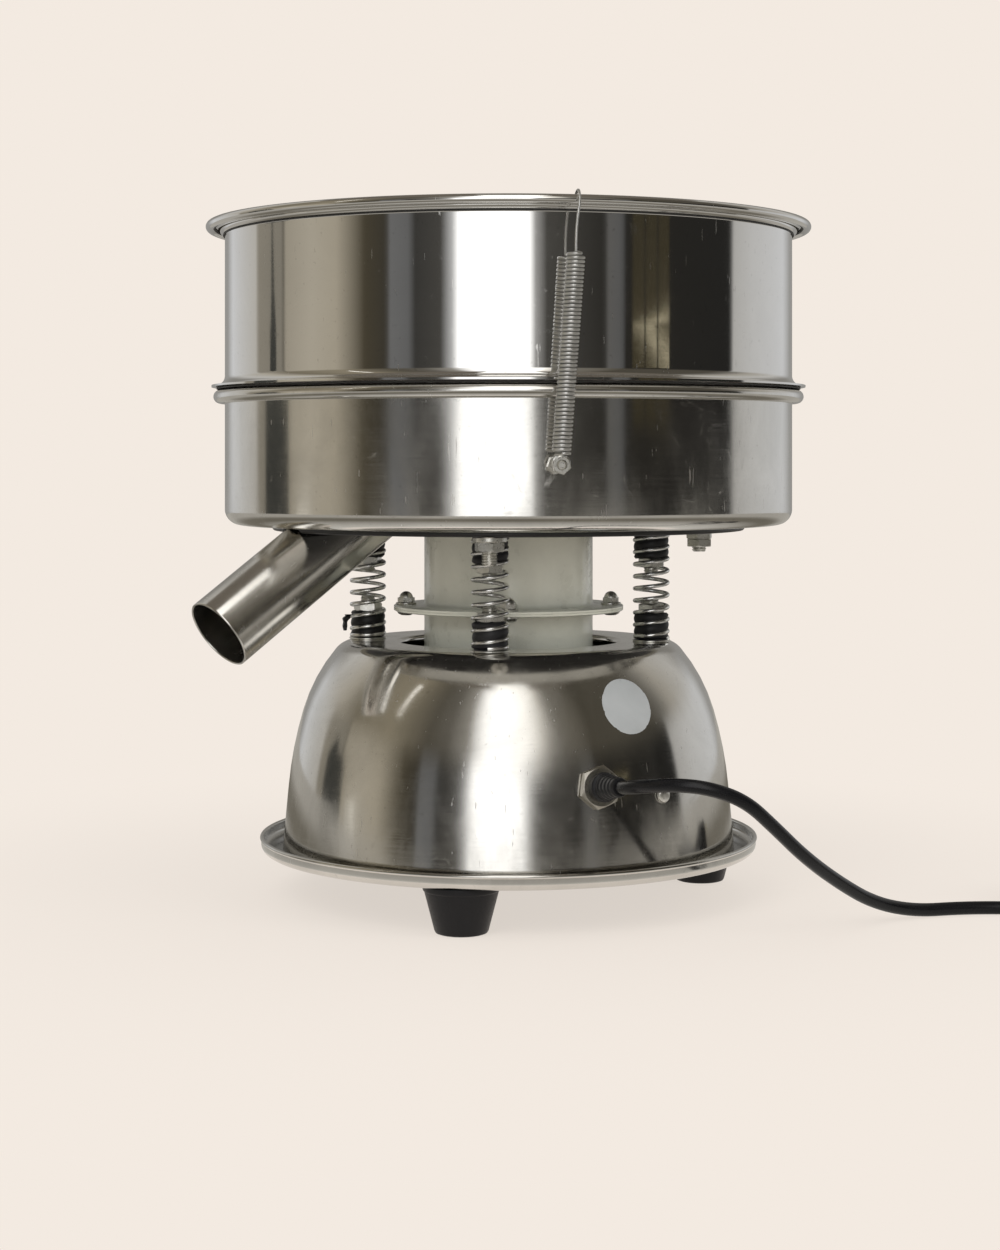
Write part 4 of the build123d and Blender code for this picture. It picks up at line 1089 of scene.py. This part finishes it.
high_tones = [
    (-180, 0.22, 14), (-150, 0.26, 12), (-135, 0.56, 7), (-113, 0.46, 22), (-104, 0.30, 27),
    (-96, 0.20, 35), (-80, 0.26, 35), (-68, 0.28, 36), (-56, 0.17, 35), (-44, 0.10, 30), (-33, 0.13, 23),
    (-22, 0.32, 16), (-16, 1.20, 3), (-12, 1.70, 2), (12, 1.70, 6), (16, 1.00, 14), (23, 0.20, 20),
    (35, 0.16, 25), (46, 0.08, 31), (88, 0.09, 28), (98, 0.18, 17), (110, 0.40, 18), (133, 0.56, 7),
    (150, 0.26, 12), (180, 0.22, 14),
]
screen_radius = 2300.0
screen_top = 3200.0


def screen_place(bearing, height, inset=0.0):
    """A point on the screen by its bearing from the camera's side and its height."""
    return polar(screen_radius - inset, bearing - 90, height)


def tone_ramp(tree, share, tones, first=-180.0, last=180.0):
    """A colour ramp over a share that runs from 0 at the first mark to 1 at the last.

    Each tone is a mark, a lightness and a warmth, in per cent by which blue falls short of red.
    """
    ramp = tree.nodes.new("ShaderNodeValToRGB")
    elements = ramp.color_ramp.elements
    while len(elements) > 1:
        elements.remove(elements[-1])
    for number, (mark, lightness, warmth) in enumerate(tones):
        element = elements[0] if number == 0 else elements.new((mark - first) / (last - first))
        element.position = (mark - first) / (last - first)
        element.color = (lightness, lightness * (1 - 0.0035 * warmth), lightness * (1 - 0.01 * warmth), 1.0)
    tree.links.new(share, ramp.inputs[0])
    return ramp.outputs["Color"]


def mirrored_only(piece):
    """Keeps a stage piece to reflections: it lights and shades nothing."""
    for ray in ("camera", "diffuse", "transmission", "shadow"):
        setattr(piece, f"visible_{ray}", False)


wall_steps = 180
wall_rows = [[screen_place(360 * side / wall_steps, level) for side in range(wall_steps)]
             for level in (-200.0, screen_top)]
wall_material, wall_glow = emission_material("reflection_screen")
tree = wall_material.node_tree
x, y, z = add_node(tree, "SeparateXYZ", {0: add_node(tree, "TexCoord", {}, "Object")}, slice(None))
angle = calculate(tree, "ARCTAN2", x, calculate(tree, "MULTIPLY", y, -1.0))
share = calculate(tree, "ADD", calculate(tree, "DIVIDE", angle, math.tau), 0.5)
climbing = add_node(tree, "MapRange", {"Value": z, "From Min": 0.50, "From Max": 0.95},
                    interpolation_type="SMOOTHSTEP")
tones = mix_colours(tree, climbing, tone_ramp(tree, share, low_tones), tone_ramp(tree, share, high_tones))
tree.links.new(tones, wall_glow.inputs["Color"])
mirrored_only(Shape().grid(wall_rows).build("reflection_screen", wall_material, sharp=180.0))


def screen_panel(name, colour, corners, inset=30.0):
    """A flat panel just inside the screen, by the bearings and heights of its corners."""
    rows = [[screen_place(bearing, height, inset) for bearing, height in row] for row in corners]
    shape = Shape().grid(rows, ring=False)
    mirrored_only(shape.build(name, emission_material(name, colour)[0], sharp=180.0))


# A dark stand at the left, a low pale patch, a narrow bright strip higher up and a slatted warm panel
screen_panel("dark_stand", (0.05, 0.05, 0.045), [
    [(-109.5, -150), (-101.5, -150), (-93.5, -150)],
    [(-109.0, 330), (-102.0, 330), (-94.0, 340)],
    [(-105.2, 420), (-103.5, 400), (-101.0, 380)],
    [(-104.6, 520), (-104.4, 520), (-104.2, 520)],
])
screen_panel("pale_patch", (0.72, 0.68, 0.60), [[(-90, -150), (-81, -150)], [(-89, 90), (-82, 120)]])
screen_panel("bright_strip", (1.2, 1.15, 1.05), [
    [(-67.5, 1250), (-65.5, 1250)],
    [(-68.5, 2500), (-65.0, 2500)],
])
for slat in range(3):
    first = 47.6 + 5.5 * slat
    screen_panel(f"warm_slat_{slat + 1}", (0.05, 0.042, 0.025), [
        [(first, 250), (first + 4.9, 250)], [(first, 500), (first + 4.9, 500)],
    ])
    rise = 394 + 9 * slat
    screen_panel(f"warm_glint_{slat + 1}", (0.62, 0.55, 0.38), [
        [(first, rise), (first + 4.9, rise + 7)], [(first, rise + 10), (first + 4.9, rise + 19)],
    ], 60.0)

# Floor as the steel mirrors it: pale near the object, brown round it and mid grey farther off
card_material, card_glow = emission_material("floor_card")
tree = card_material.node_tree
card_tones = [(0.18, 0.60, 10), (0.42, 0.18, 25), (0.56, 0.18, 25), (0.85, 0.42, 14)]
tree.links.new(tone_ramp(tree, distance_out(tree), card_tones, 0.0, 1.0), card_glow.inputs["Color"])
card = Shape().lathe([(175.0, -0.1), (screen_radius, -0.1)], 64, closed=False)
mirrored_only(card.build("floor_card", card_material))

# Ceiling: a dim panel with a bright strip towards the camera
ceiling_material = emission_material("ceiling_panel", (0.16, 0.14, 0.115))[0]
ceiling = Shape().lathe([(0.0, screen_top), (screen_radius, screen_top)], 64, closed=False)
mirrored_only(ceiling.build("ceiling_panel", ceiling_material))
strip_rows = [[(x, y, screen_top - 30.0) for x in (-420.0, 520.0)] for y in (-2280.0, -700.0)]
strip = Shape().grid(strip_rows, ring=False)
mirrored_only(strip.build("ceiling_strip", emission_material("ceiling_strip", (1.5, 1.47, 1.4))[0]))
